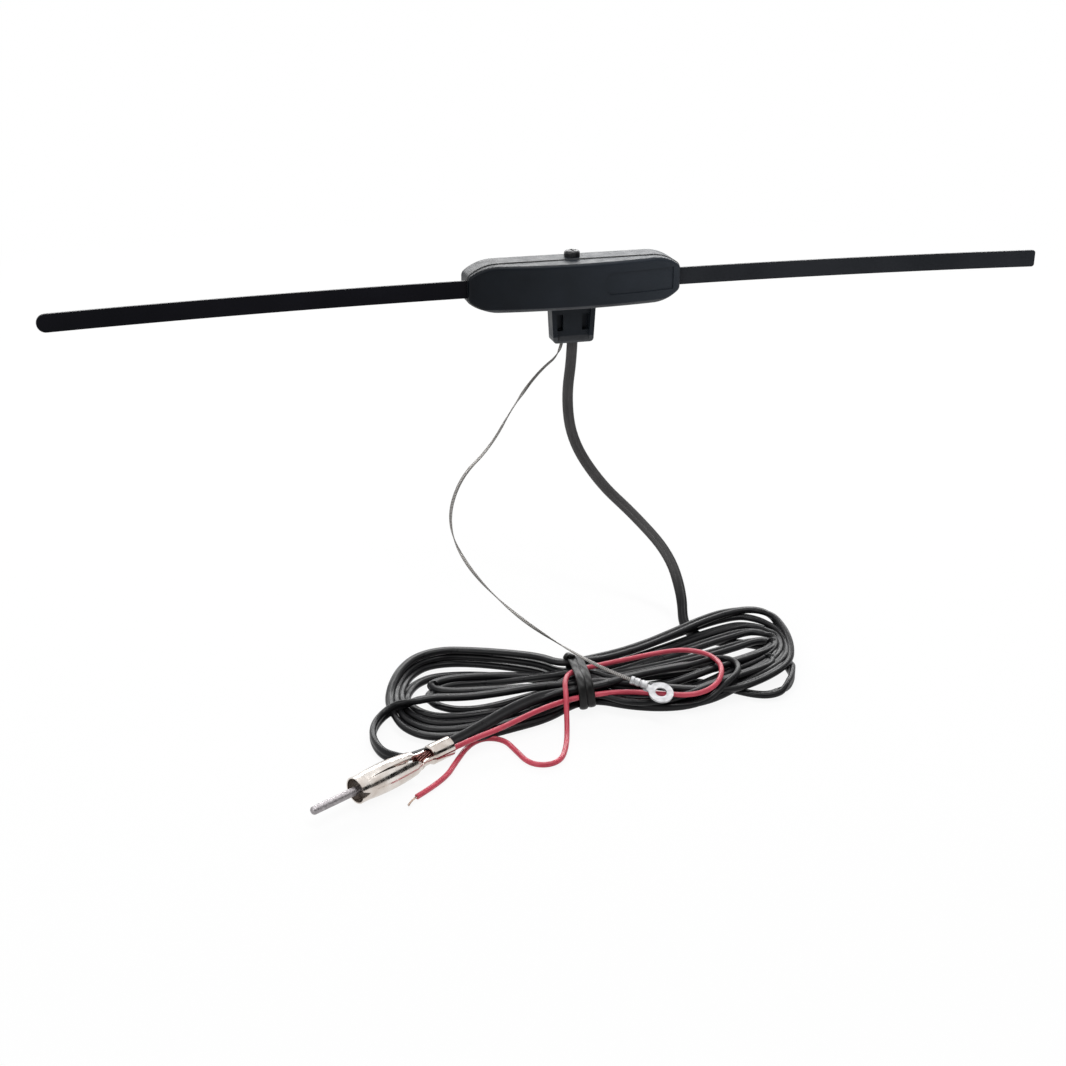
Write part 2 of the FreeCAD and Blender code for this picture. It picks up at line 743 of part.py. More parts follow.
def sleeve_side(offset):
    """Outer or inner side of the rolled sleeve, from the rim to the crimp's end, drawn in by offset."""
    def at(s, r):
        return FreeCAD.Vector(s, 0, r - offset)

    points = [at(0, sleeve_radius), at(rim_length, sleeve_radius), at(shoulder_start, shoulder_radius),
              at(sleeve_length, neck_radius), at(crimp_start, neck_radius), at(crimp_flare_end, crimp_radius),
              at(crimp_end, crimp_radius)]
    edges = [Part.LineSegment(points[0], points[1]).toShape(),
             Part.Arc(points[1], at((rim_length + shoulder_start) / 2, sleeve_bulge), points[2]).toShape()]
    edges += [Part.LineSegment(a, b).toShape() for a, b in zip(points[2:], points[3:])]
    return edges, points[0], points[-1]


def plug_slot():
    """Plan of a long slot round a spring tongue: two slits that widen to the rear and meet behind it."""
    def at(s, y):
        return FreeCAD.Vector(s, y, 0)

    tongue_straight = tongue_end - tongue_end_half
    outer = [at(slot_start, slot_start_half + slot_tip_gap), at(slot_end, slot_end_half),
             at(slot_end, -slot_end_half), at(slot_start, -slot_start_half - slot_tip_gap)]
    inner = [at(slot_start, -slot_start_half), at(tongue_straight, -tongue_end_half),
             at(tongue_end, 0), at(tongue_straight, tongue_end_half), at(slot_start, slot_start_half)]
    edges = [Part.LineSegment(a, b).toShape() for a, b in zip(outer, outer[1:] + inner[:1])]
    edges.append(Part.LineSegment(inner[0], inner[1]).toShape())
    edges.append(Part.Arc(inner[1], inner[2], inner[3]).toShape())
    edges.append(Part.LineSegment(inner[3], inner[4]).toShape())
    edges.append(Part.LineSegment(inner[4], outer[0]).toShape())
    return Part.Face(Part.Wire(edges))


def plug_shell():
    """Sleeve rolled from sheet: notched rim, two spring tongues, a cradle neck and a wrapped crimp."""
    outer, outer_front, outer_back = sleeve_side(0)
    inner, inner_front, inner_back = sleeve_side(sleeve_wall)
    caps = [Part.LineSegment(outer_front, inner_front).toShape(),
            Part.LineSegment(outer_back, inner_back).toShape()]
    section = Part.Face(Part.Wire(Part.__sortEdges__(outer + inner + caps)))
    shell = section.revolve(FreeCAD.Vector(0, 0, 0), FreeCAD.Vector(1, 0, 0), 360)
    height = 2 * sleeve_bulge
    for side in (-1, 1):
        cutter = plug_slot()
        cutter.translate(FreeCAD.Vector(0, 0, side * slot_floor))
        shell = shell.cut(cutter.extrude(FreeCAD.Vector(0, 0, side * height)))
    shell = shell.cut(prism([(0, 0, notch_width / 2), (0, 0, -notch_width / 2), (notch_length, 0, 0)],
                            (0, -height, 0)))
    shell = shell.cut(block((slot_end, -height, cradle_side), (crimp_start + cradle_end, height, height)))
    shell = shell.cut(block((crimp_start, -height, -crimp_seam / 2), (crimp_end, 0, crimp_seam / 2)))
    return on_plug(shell)


def plug_insulator():
    """Bush that holds the pin in the middle of the sleeve."""
    outer = sleeve_radius - sleeve_wall - bush_clearance
    bush_end = bush_start + bush_length
    bush = cylinder(outer, (bush_start, 0, 0), (bush_end, 0, 0))
    collar = cylinder(2 * pin_root_radius, (bush_end, 0, 0), (bush_end + pin_buried, 0, 0))
    bore = cylinder(pin_root_radius + bush_clearance, (bush_start, 0, 0), (bush_end + pin_buried, 0, 0))
    return on_plug(bush.fuse(collar).cut(bore).removeSplitter())


def plug_pin():
    """Turned pin with a rounded tip and a thinner root in the bush."""
    pin = cylinder(pin_radius, (-pin_exposed, 0, 0), (0, 0, 0))
    tip = [e for e in pin.Edges if e.BoundBox.XMax < -pin_exposed + 1e-6]
    pin = pin.makeFillet(pin_tip, tip)
    root = cylinder(pin_root_radius, (0, 0, 0), (bush_start + bush_length + pin_buried / 2, 0, 0))
    return on_plug(pin.fuse(root).removeSplitter())


def crimp_point(s, across, rise):
    """Point in the plug's crimp, in the shared frame."""
    return tuple(plug_placement().multVec(FreeCAD.Vector(s, across, rise)))


def coax_tail():
    inside = [crimp_point(s, lead_across, 0) for s in (crimp_end + crimp_approach, crimp_flare_end)]
    return cord_tube(tail_route + inside, lead_diameter, "coax_tail").cut(coax_hank())


def power_wire():
    inside = [crimp_point(s, wire_across, 0) for s in (crimp_flare_end, crimp_end + crimp_approach)]
    return cord_tube(inside + wire_route, wire_diameter, "power_wire")


def power_wire_core():
    """Bare strands, twisted together, that stand out of the cut end of the red wire."""
    heading = (vector(wire_route[-1]) - vector(wire_route[-2])).normalize()
    end = vector(wire_route[-1]) + heading * core_length
    return cylinder(core_diameter / 2, wire_route[-1], tuple(end))


def terminal_placement():
    """From the flat ring, barrel towards +X, to where it leans on the hank."""
    turn = FreeCAD.Rotation(FreeCAD.Vector(0, 0, 1), barrel_heading)
    lean = FreeCAD.Rotation(FreeCAD.Vector(1, 0, 0), ring_tilt)
    return FreeCAD.Placement(FreeCAD.Vector(ring_x, ring_y, surface_z + ring_rise), lean.multiply(turn))


def ring_terminal():
    """Stamped ring, a neck, and a crimped barrel with two grooves."""
    half = ring_thickness / 2
    barrel_end = barrel_start + barrel_length
    rise = barrel_radius - half
    ring = cylinder(ring_outer / 2, (0, 0, -half), (0, 0, half))
    neck = block((0, -barrel_radius, -half), (barrel_start + 1.0, barrel_radius, half))
    barrel = cylinder(barrel_radius, (barrel_start, 0, rise), (barrel_end, 0, rise))
    body = ring.fuse([neck, barrel])
    body = body.cut(cylinder(ring_hole / 2, (0, 0, -half), (0, 0, half)))
    body = body.cut(cylinder(barrel_bore, (barrel_start + 1.5, 0, rise), (barrel_end, 0, rise)))
    for share in (0.4, 0.75):
        place = FreeCAD.Vector(barrel_start + share * barrel_length, 0, rise)
        along = FreeCAD.Vector(1, 0, 0)
        body = body.cut(Part.makeTorus(barrel_radius + barrel_groove, 2 * barrel_groove, place, along))
    body = body.removeSplitter()
    body.Placement = terminal_placement()
    return body


def earth_strap():
    rise = barrel_radius - ring_thickness / 2
    mouth = barrel_start + barrel_length
    ends = [tuple(terminal_placement().multVec(FreeCAD.Vector(x, 0, rise)))
            for x in (mouth + strap_approach, mouth - strap_grip)]
    return cord_tube(strap_route + ends, strap_diameter, "earth_strap")


def coax_lead():
    return cord_tube(lead_route, lead_diameter, "coax_lead").cut(coax_hank())


nodes = {
    "front_cover": front_cover,
    "back_shell": back_shell,
    "mounting_pad": mounting_pad,
    "left_arm": lambda: arm(-1, left_reach, left_tip_radius),
    "right_arm": lambda: arm(1, right_reach, right_tip_radius),
    "circuit_board": circuit_board,
    "rivet_washers": rivet_washers,
    "arm_rivets": arm_rivets,
    "cover_screws": cover_screws,
    "top_screw": top_screw,
    "cable_outlet": cable_outlet,
    "transistor": transistor,
    "electrolytic_capacitor": electrolytic_capacitor,
    "choke_coil": choke_coil,
    "ceramic_capacitors": ceramic_capacitors,
    "resistors": resistors,
    "coax_lead": coax_lead,
    "coax_hank": coax_hank,
    "coax_tail": coax_tail,
    "hank_tie": hank_tie,
    "plug_shell": plug_shell,
    "plug_insulator": plug_insulator,
    "plug_pin": plug_pin,
    "power_wire": power_wire,
    "power_wire_core": power_wire_core,
    "earth_strap": earth_strap,
    "ring_terminal": ring_terminal,
}

os.makedirs("parts", exist_ok=True)
for name, make in nodes.items():
    shape = make()
    print(name, "valid", shape.isValid(), "solids", len(shape.Solids), "volume", round(shape.Volume, 1))
    shape.exportStep("parts/" + name + ".step")
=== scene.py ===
"""Glass-mount car antenna: finishes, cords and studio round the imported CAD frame. Metres."""
import math

import bmesh
import bpy
from mathutils import Matrix, Vector


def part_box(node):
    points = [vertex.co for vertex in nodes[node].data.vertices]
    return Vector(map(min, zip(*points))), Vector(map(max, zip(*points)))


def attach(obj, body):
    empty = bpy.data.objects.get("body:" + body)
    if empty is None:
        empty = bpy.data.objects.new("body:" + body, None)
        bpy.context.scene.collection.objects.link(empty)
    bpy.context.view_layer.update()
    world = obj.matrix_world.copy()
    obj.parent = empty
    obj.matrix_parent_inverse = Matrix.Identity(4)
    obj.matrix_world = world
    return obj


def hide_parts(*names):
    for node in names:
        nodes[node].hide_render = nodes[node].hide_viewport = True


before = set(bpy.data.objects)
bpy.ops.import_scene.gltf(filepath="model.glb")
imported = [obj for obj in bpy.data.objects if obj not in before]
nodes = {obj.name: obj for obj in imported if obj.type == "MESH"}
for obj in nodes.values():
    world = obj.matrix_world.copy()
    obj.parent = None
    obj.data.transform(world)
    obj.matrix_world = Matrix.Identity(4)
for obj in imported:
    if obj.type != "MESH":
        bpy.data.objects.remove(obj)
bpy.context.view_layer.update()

# The surface that the hank, the plug and the loose wires lie on
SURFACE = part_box("coax_hank")[0][2]

# Camera, fitted to the photograph: 1066 pixels square, 1600 pixels of focal length
IMAGE_SIDE = 1066
FOCAL_PIXELS = 1600.0
SENSOR = 36.0
CAMERA_PLACE = Vector((-0.18468, -0.63321, 0.15840))
CAMERA_HEADING = math.radians(15.0)
CAMERA_PITCH = math.radians(22.6)
CAMERA_NEAR = 0.01

MM = 0.001

# Height of the plug's axis above the surface, in millimetres
PLUG_HEIGHT = 5.2

# Points nearer than this are one point
MERGE_DISTANCE = 1e-7

# Flat twin lead
LEAD_WIDTH = 4.6 * MM
LEAD_THICKNESS = 2.5 * MM
LEAD_GROOVE = 0.34 * MM
LEAD_STEPS = 7
LEAD_ROUND_ANGLES = (30, 60)

# Which way the lead's broad side runs, in each of the ways that it lies
HANGING = Vector((0.966, -0.259, 0.0))
LANDING = Vector((0.60, -0.60, 0.53))
FLAT = Vector((0.80, 0.60, 0.0))
ON_EDGE = Vector((0.0, 0.0, 1.0))
COILED = Vector((0.0, -0.975, 0.22))
LAID_DOWN = Vector((0.0, -0.985, -0.17))
TIED = Vector((0.0, -0.97, 0.24))
LEANT_BACK = Vector((0.42, -0.72, -0.53))

# Fine strands, in the plug's neck and at the red wire's bare end
STRAND_SIDES = 8

# Red supply wire
WIRE_DIAMETER = 2.0 * MM
WIRE_STEPS = 8
WIRE_BEVEL = 5
CORE_STRAND = 0.24 * MM
CORE_STRANDS = 6
CORE_TWIST = 1.3
CORE_OPENING = 0.45
CORE_BEND = -1.5 * MM
CORE_STEPS = 16

# Flat earth braid, and how it twists along its length, in radians
STRAP_WIDTH = 1.35 * MM
STRAP_THICKNESS = 0.55 * MM
STRAP_STEPS = 18
STRAP_SIDES = 12
STRAP_FIRST_TURN = 2.3
STRAP_TURN = 13.0
STRAP_SWING = 2.0
STRAP_SWING_RATE = 9.0
STRAP_TILT = 0.35


def above_surface(route):
    """Route in millimetres with heights above the surface, turned into metres."""
    return [(x * MM, y * MM, SURFACE + height * MM) for x, y, height in route]


# Lead from the outlet to the hank
LEAD_ROUTE = above_surface([
    (0.9, -5.4, 124.7), (0.9, -5.4, 105.0), (-2.6, -8.0, 86.0), (-1.4, -13.5, 68.0), (9.0, -21.0, 50.5),
    (21.5, -31.0, 38.5), (32.8, -45.0, 25.0), (34.2, -58.5, 12.0), (30.6, -70.5, 3.0),
])

# Its first loop: on the surface, round outside the right end and back to the tie below the other turns
FIRST_LOOP = above_surface([
    (33.5, -80.0, 2.0), (42.0, -86.5, 1.5), (52.0, -89.5, 1.4), (59.3, -96.5, 1.4), (60.6, -107.0, 1.4),
    (59.4, -117.0, 2.4), (55.8, -124.8, 2.4), (50.2, -131.0, 2.2), (43.6, -133.9, 1.9),
    (37.0, -131.6, 1.9), (30.0, -125.0, 1.9), (22.0, -117.4, 1.9), (12.0, -113.8, 1.9), (2.0, -114.2, 1.9),
    (-8.0, -116.6, 2.2),
])
FIRST_LOOP_LEANS = [FLAT] * 5 + [ON_EDGE] * 2 + [COILED] * 8

# Where the strands pass through the tie: columns from front to back, each with its rows
WAIST_X = -27.0
WAIST_Y = -113.0
WAIST_HALF_RUN = 5.0
FRONT, NEAR, MIDDLE, FAR, BACK = -122.0, -117.7, -113.3, -108.6, -103.8
ROWS = (2.7, 5.7, 8.7)
BACK_ROWS = (2.9, 6.7, 10.5)

# Points round an end: share of its reach, place from back (0) to front (1), share fanned out of the tie
LEFT_END = [
    (0.18, 1.0, 0.40), (0.36, 1.0, 0.66), (0.54, 1.0, 0.88), (0.70, 1.01, 1.0), (0.84, 0.985, 1.0),
    (0.93, 0.90, 1.0), (0.975, 0.77, 1.0), (1.0, 0.62, 1.0), (1.005, 0.47, 1.0), (0.98, 0.32, 1.0),
    (0.93, 0.17, 1.0), (0.84, 0.04, 1.0), (0.70, -0.02, 1.0), (0.54, 0.0, 0.95), (0.36, 0.0, 0.72),
    (0.18, 0.0, 0.40),
]
RIGHT_END = [
    (0.18, 0.0, 0.45), (0.36, 0.0, 0.62), (0.54, 0.0, 0.82), (0.71, 0.0, 0.98), (0.86, 0.0, 1.0),
    (0.95, 0.05, 1.0), (1.005, 0.20, 1.0), (1.01, 0.40, 1.0), (0.965, 0.62, 1.0), (0.89, 0.78, 1.0),
    (0.79, 0.88, 1.0), (0.66, 0.94, 1.0), (0.53, 1.01, 1.0), (0.40, 1.04, 1.0), (0.27, 1.0, 0.95),
    (0.12, 1.0, 0.65),
]

# How far those points rise over what lies below them
LEFT_RISE = [0.0] * len(LEFT_END)
RIGHT_RISE = [0.0, 0.0, 0.8, 1.6, 2.2, 2.4, 2.5, 2.5, 2.5, 2.5, 2.5, 2.5, 2.2, 1.4, 0.5, 0.0]

# Each end of the hank: its points, their rises, the sign that turns sideways to the back, and its heading
LEFT = (LEFT_END, LEFT_RISE, -1, math.radians(172.0))
RIGHT = (RIGHT_END, RIGHT_RISE, 1, math.radians(14.0))

# Each turn's left and right ends: reach, back and front places, and heights at back, end and front
TURNS = [
    ((67.7, 30.0, -17.5, 1.7, 2.35, 1.7), (91.2, 14.9, -25.2, 2.1, 2.35, 1.9)),
    ((65.5, 19.8, -12.7, 1.7, 2.35, 1.7), (88.9, 8.6, -19.8, 1.9, 2.35, 1.9)),
    ((69.9, 31.0, -22.3, 4.45, 2.35, 1.7), (94.0, 20.8, -29.4, 3.8, 2.8, 1.9)),
    ((55.5, 15.2, 3.6, 3.4, 3.8, 3.4), (86.2, -0.4, -16.2, 2.0, 2.35, 4.5)),
    ((57.0, 12.6, -8.0, 1.7, 2.35, 1.7), (77.0, -11.4, -26.6, 2.0, 2.35, 4.5)),
]
LAST_LEFT = (72.1, 31.0, -27.0, 7.2, 2.35, 1.7)
LAST_RIGHT = above_surface([
    (-10.1, -99.2, 8.8), (4.5, -93.0, 7.8), (19.8, -85.2, 7.6), (35.8, -77.0, 7.8), (47.2, -73.3, 8.2),
    (57.2, -72.9, 8.5), (62.6, -75.4, 8.6), (65.4, -80.4, 8.4), (65.9, -87.7, 7.9), (65.2, -96.6, 7.0),
    (63.2, -105.0, 5.8), (59.2, -113.6, 4.9), (51.6, -120.8, 4.9), (40.4, -127.0, 4.9), (29.0, -131.4, 5.2),
    (16.0, -130.4, 6.2), (2.0, -126.0, 6.9), (-10.0, -121.0, 8.0),
])

# The right end's strands are laid down along the back, up to this many points
LAID_POINTS = 5
RIGHT_LEANS = [LAID_DOWN] * LAID_POINTS + [COILED] * (len(RIGHT_END) - LAID_POINTS)
LAST_RIGHT_LEANS = [LAID_DOWN] * LAID_POINTS + [COILED] * (len(LAST_RIGHT) - LAID_POINTS)

# Between these places of an end the lead stands on edge, and its middle is at least this high
EDGE_HEIGHT = 2.4
EDGE_FROM, EDGE_TO = 0.03, 0.97

# Column and row in the tie of each turn's front and back strands
FRONT_SLOTS = [(NEAR, 0), (MIDDLE, 0), (NEAR, 1), (MIDDLE, 1), (MIDDLE, 2), (FRONT, 1)]
BACK_SLOTS = [(BACK, 0), (FAR, 0), (BACK, 1), (FAR, 1), (FAR, 2), (BACK, 2)]

# Last turn: over the left end, round outside it behind the plug, and back below the red wire
OVER_SLOT = (NEAR, 2)
LEFT_LOOP = above_surface([
    (-44.0, -114.2, 7.7), (-58.0, -115.2, 7.4), (-72.0, -115.0, 7.2), (-84.0, -111.6, 7.1),
    (-93.0, -112.6, 6.8), (-99.5, -111.6, 4.6), (-105.0, -114.8, 2.6), (-108.8, -122.5, 2.35),
    (-109.6, -131.5, 2.35), (-107.6, -140.5, 2.35), (-102.0, -145.2, 2.35), (-95.0, -142.8, 2.1),
    (-86.0, -138.6, 1.9), (-74.0, -136.4, 1.8), (-60.0, -133.2, 1.8), (-44.0, -129.6, 2.0),
])
LEFT_LOOP_LEANS = [COILED] * 5 + [ON_EDGE] * 6 + [COILED] * 5
RETURN_SLOT = (FRONT, 0)

# Out along the front of the right end and back over its middle
HOOK = above_surface([
    (-12.0, -128.2, 2.0), (0.0, -132.8, 1.9), (11.0, -134.4, 2.4), (20.5, -133.6, 4.8), (28.5, -129.0, 6.8),
    (34.0, -123.2, 7.0), (36.4, -116.6, 7.0), (33.0, -110.8, 7.0), (24.0, -111.6, 7.4), (8.0, -115.0, 8.6),
    (-8.0, -118.6, 9.4),
])
HOOK_LEANS = [COILED] * 4 + [ON_EDGE] * 5 + [COILED] * 2
TAIL_SLOT = (FRONT, 2)

# From the hank into the plug's crimp
TAIL_ROUTE = above_surface([
    (-42.0, -121.2, 7.4), (-51.0, -124.6, 7.2), (-60.5, -129.6, 6.9), (-69.5, -135.2, 6.2),
    (-78.97, -140.55, PLUG_HEIGHT), (-93.14, -148.60, PLUG_HEIGHT),
])
TAIL_LEANS = [COILED] + [LEANT_BACK] * 5

# The red wire: out of the crimp beside the lead, round the right end, through the tie, and loose
WIRE_ROUTE = above_surface([
    (-91.56, -151.38, PLUG_HEIGHT), (-77.39, -143.33, PLUG_HEIGHT), (-63.5, -139.5, 6.6),
    (-50.5, -133.0, 7.4), (-38.5, -127.8, 7.4), (-27.0, -125.4, 7.2), (-14.0, -126.0, 7.4),
    (-0.5, -131.6, 7.4), (11.5, -136.0, 7.2), (22.2, -132.6, 8.6), (28.4, -121.3, 10.2), (27.4, -108.8, 9.4),
    (19.6, -101.4, 8.8), (7.3, -103.0, 9.4), (-8.4, -108.0, 10.8), (-22.0, -111.4, 11.5),
    (-31.0, -113.6, 11.6), (-35.0, -120.5, 12.0),
    (-36.6, -128.0, 10.6), (-37.8, -133.2, 5.6), (-39.5, -139.8, 1.2), (-42.6, -149.5, 1.0),
    (-46.9, -158.3, 1.0), (-53.2, -160.4, 1.0), (-58.8, -157.0, 1.0), (-61.0, -147.4, 1.0),
    (-63.0, -139.0, 1.0), (-69.6, -135.5, 1.0), (-76.4, -139.2, 1.0), (-83.0, -149.0, 1.0),
    (-90.0, -160.6, 1.0), (-101.3, -168.7, 1.0),
])
CORE_HEADING = Vector((-0.8128, -0.5826, 0.0))
CORE_LENGTH = 6.0 * MM

# The earth braid, from the outlet down to the ring's barrel
STRAP_ROUTE = above_surface([
    (-3.4, -5.4, 115.3), (-3.4, -5.4, 105.5), (-15.0, -8.5, 98.5), (-28.0, -16.0, 86.5),
    (-40.0, -25.5, 73.0), (-56.0, -36.5, 64.5), (-64.0, -48.5, 50.0), (-58.5, -63.0, 35.5),
    (-44.5, -83.0, 23.0), (-30.0, -103.0, 16.6), (-18.06, -124.34, 14.99), (-9.05, -130.19, 12.63),
])

# Two wraps of a narrow strap round the hank's middle, and the knob of its end on top at the back
TIE_FRONT, TIE_BACK = -127.6, -101.0
TIE_BOTTOM, TIE_TOP = 0.65, 13.4
TIE_WRAPS = 2
TIE_POINTS = 8
TIE_START = 0.6
TIE_START_X = -29.9
TIE_LEAN = 0.12
TIE_ADVANCE = 2.9
TIE_STEPS = 10
TIE_SWAY = 0.35
TIE_SWAY_RATE = 7.0
TIE_SIDES = 16
TIE_WIDTH = 3.2 * MM
TIE_THICKNESS = 1.3 * MM
TIE_BROAD_SIDE = Vector((1.0, 0.0, 0.0))
KNOB_ROUTE = above_surface([
    (-26.9, -105.5, 13.6), (-28.0, -104.0, 13.9), (-29.2, -102.9, 13.2), (-29.6, -102.4, 11.6),
])
KNOB_WIDTH = 2.6 * MM
KNOB_THICKNESS = 1.5 * MM
KNOB_BROAD_SIDE = Vector((0.3, -1.0, 0.2))

# Strands of the lead's screen, bare between the plug's crimp and its sleeve
NECK_ENDS = above_surface([(-90.0, -148.1, PLUG_HEIGHT), (-98.5, -152.9, PLUG_HEIGHT)])
NECK_STRANDS = 14
NECK_STRAND = 0.55 * MM
NECK_RADIUS = 1.9 * MM
NECK_STEPS = 12
NECK_TWIST = 0.22
NECK_WAIST = 0.12
NECK_UNEVEN = 0.05
NECK_UNEVEN_RATE = 2.4


def add_object(name, data):
    """New object at the origin, in the scene."""
    item = bpy.data.objects.new(name, data)
    bpy.context.scene.collection.objects.link(item)
    return item


def finished_mesh(name, bm, material):
    """Mesh of one material from a bmesh, which is freed."""
    mesh = bpy.data.meshes.new(name)
    bm.to_mesh(mesh)
    bm.free()
    mesh.materials.append(material)
    return mesh


def new_piece(name, bm, finish):
    """Finished bmesh as a smooth piece on the part's one body."""
    mesh = finished_mesh(name, bm, finish)
    mesh.shade_smooth()
    piece = add_object(name, mesh)
    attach(piece, "root")
    return piece


def spline_object(name, route, steps):
    """One open NURBS spline with the route's points as its control points."""
    curve = bpy.data.curves.new(name, "CURVE")
    curve.dimensions = "3D"
    curve.resolution_u = steps
    spline = curve.splines.new("NURBS")
    spline.points.add(len(route) - 1)
    for point, place in zip(spline.points, route):
        point.co = (*place, 1.0)
    spline.order_u = 3
    spline.use_endpoint_u = True
    return add_object(name, curve)


def smooth_line(route, steps):
    """Points along the route's NURBS spline."""
    item = spline_object("line", route, steps)
    mesh = bpy.data.meshes.new_from_object(item)
    line = [vertex.co.copy() for vertex in mesh.vertices]
    curve = item.data
    bpy.data.objects.remove(item)
    bpy.data.curves.remove(curve)
    bpy.data.meshes.remove(mesh)
    return line


def directions(line):
    """Unit direction of travel at each point."""
    ahead = line[1:] + line[-1:]
    behind = line[:1] + line[:-1]
    return [(a - b).normalized() for a, b in zip(ahead, behind)]


def roll(bm, line, section, wide_axis):
    """Sheet rolled round a line: section points are across the wide axis and through the thickness."""
    last = len(line) - 1
    sides = len(section)
    sheet = bmesh.ops.create_grid(bm, x_segments=last, y_segments=sides, size=0.5, calc_uvs=True)["verts"]
    headings = directions(line)
    for vertex in sheet:
        step = round((vertex.co.x + 0.5) * last)
        side = round((vertex.co.y + 0.5) * sides) % sides
        heading = headings[step]
        wide = wide_axis(step)
        wide = (wide - heading * wide.dot(heading)).normalized()
        thick = heading.cross(wide)
        across, through = section[side]
        vertex.co = line[step] + wide * across + thick * through


def rolled_piece(name, rolls, finish):
    """Piece made of closed rolled tubes, each a line, its section and its wide axis."""
    bm = bmesh.new()
    bm.loops.layers.uv.new("along_and_round")
    for line, section, wide_axis in rolls:
        roll(bm, line, section, wide_axis)
    bmesh.ops.remove_doubles(bm, verts=bm.verts, dist=MERGE_DISTANCE)
    open_edges = [edge for edge in bm.edges if edge.is_boundary]
    bmesh.ops.holes_fill(bm, edges=open_edges, sides=0)
    bmesh.ops.recalc_face_normals(bm, faces=bm.faces)
    return new_piece(name, bm, finish)


def oval(width, thickness, sides):
    """Closed oval section."""
    turns = [2 * math.pi * side / sides for side in range(sides)]
    return [(width / 2 * math.cos(turn), thickness / 2 * math.sin(turn)) for turn in turns]


def twin_section():
    """Two round cores in one flat jacket, with a shallow groove between them."""
    flat = (LEAD_WIDTH - LEAD_THICKNESS) / 2
    round_end = LEAD_THICKNESS / 2
    quarter = [(0.0, round_end - LEAD_GROOVE), (flat * 0.5, round_end), (flat, round_end)]
    for angle in LEAD_ROUND_ANGLES:
        turn = math.radians(angle)
        quarter.append((flat + round_end * math.sin(turn), round_end * math.cos(turn)))
    upper = quarter + [(LEAD_WIDTH / 2, 0.0)] + [(x, -y) for x, y in reversed(quarter)]
    return upper + [(-x, y) for x, y in reversed(upper[1:-1])]


def slot_height(slot):
    """Height of a strand in the tie, where the back column's rows are farther apart."""
    y, row = slot
    return BACK_ROWS[row] if y == BACK else ROWS[row]


def slot_run(slot, heading):
    """Two points through the tie, in the direction of travel."""
    reach = heading * WAIST_HALF_RUN
    return above_surface([(WAIST_X - reach, slot[0], slot_height(slot)),
                          (WAIST_X + reach, slot[0], slot_height(slot))])


def hank_end(end, size, slots):
    """One end of a turn: fanned out of one of the tie's slots, round, and back into the next slot."""
    shares, rises, side, heading = end
    reach, back, front, back_height, end_height, front_height = size
    along = Vector((math.cos(heading), math.sin(heading)))
    across = Vector((-along.y, along.x)) * side
    lobe = []
    for index, ((far, place, fan), rise) in enumerate(zip(shares, rises)):
        slot = slots[0] if index < len(shares) / 2 else slots[1]
        sideways = fan * (back + (front - back) * place) + (1 - fan) * (slot[0] - WAIST_Y)
        share = 2 * min(max(place, 0.0), 1.0)
        if share < 1:
            height = back_height + (end_height - back_height) * share
        else:
            height = end_height + (front_height - end_height) * (share - 1)
        if EDGE_FROM < place < EDGE_TO:
            height = max(height, EDGE_HEIGHT)
        height = fan * (height + rise) + (1 - fan) * slot_height(slot)
        spot = Vector((WAIST_X, WAIST_Y)) + along * far * reach + across * sideways
        lobe.append((spot.x, spot.y, height))
    return above_surface(lobe)


def hank_route():
    """The whole lead with its leans: out of the housing, round its turns, and into the plug."""
    route = LEAD_ROUTE + FIRST_LOOP
    leans = [HANGING] * (len(LEAD_ROUTE) - 2) + [LANDING] * 2 + FIRST_LOOP_LEANS
    tied = [TIED] * 2
    for turn, (left, right) in enumerate(TURNS):
        front, back, after = FRONT_SLOTS[turn], BACK_SLOTS[turn], FRONT_SLOTS[turn + 1]
        route = route + slot_run(front, -1) + hank_end(LEFT, left, (front, back))
        route = route + slot_run(back, 1) + hank_end(RIGHT, right, (back, after))
        leans = leans + tied + [COILED] * len(LEFT_END) + tied + RIGHT_LEANS
    front, back = FRONT_SLOTS[-1], BACK_SLOTS[-1]
    route = route + slot_run(front, -1) + hank_end(LEFT, LAST_LEFT, (front, back))
    route = route + slot_run(back, 1) + LAST_RIGHT
    leans = leans + tied + [COILED] * len(LEFT_END) + tied + LAST_RIGHT_LEANS
    route = route + slot_run(OVER_SLOT, -1) + LEFT_LOOP + slot_run(RETURN_SLOT, 1)
    leans = leans + tied + LEFT_LOOP_LEANS + tied
    route = route + HOOK + slot_run(TAIL_SLOT, -1) + TAIL_ROUTE
    return route, leans + HOOK_LEANS + tied + TAIL_LEANS


def twin_lead(finish):
    """The flat lead: broad side to the front where it hangs, on edge round the hank's ends."""
    route, leans = hank_route()
    line = smooth_line(route, LEAD_STEPS)
    last = len(line) - 1

    def wide_axis(step):
        place = step / last * (len(leans) - 1)
        before = min(int(place), len(leans) - 2)
        return leans[before].lerp(leans[before + 1], place - before)

    lead = rolled_piece("twin_lead", [(line, twin_section(), wide_axis)], finish)
    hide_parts("coax_lead", "coax_hank", "coax_tail")


def tie_corner(share):
    """Point on the strap's loop, from the top back, over to the front, below and up again."""
    corners = [(TIE_BACK, TIE_TOP), (TIE_FRONT, TIE_TOP), (TIE_FRONT, TIE_BOTTOM), (TIE_BACK, TIE_BOTTOM)]
    place = (share % 1.0) * len(corners)
    side = int(place)
    start = Vector(corners[side])
    end = Vector(corners[(side + 1) % len(corners)])
    return start.lerp(end, place - side)


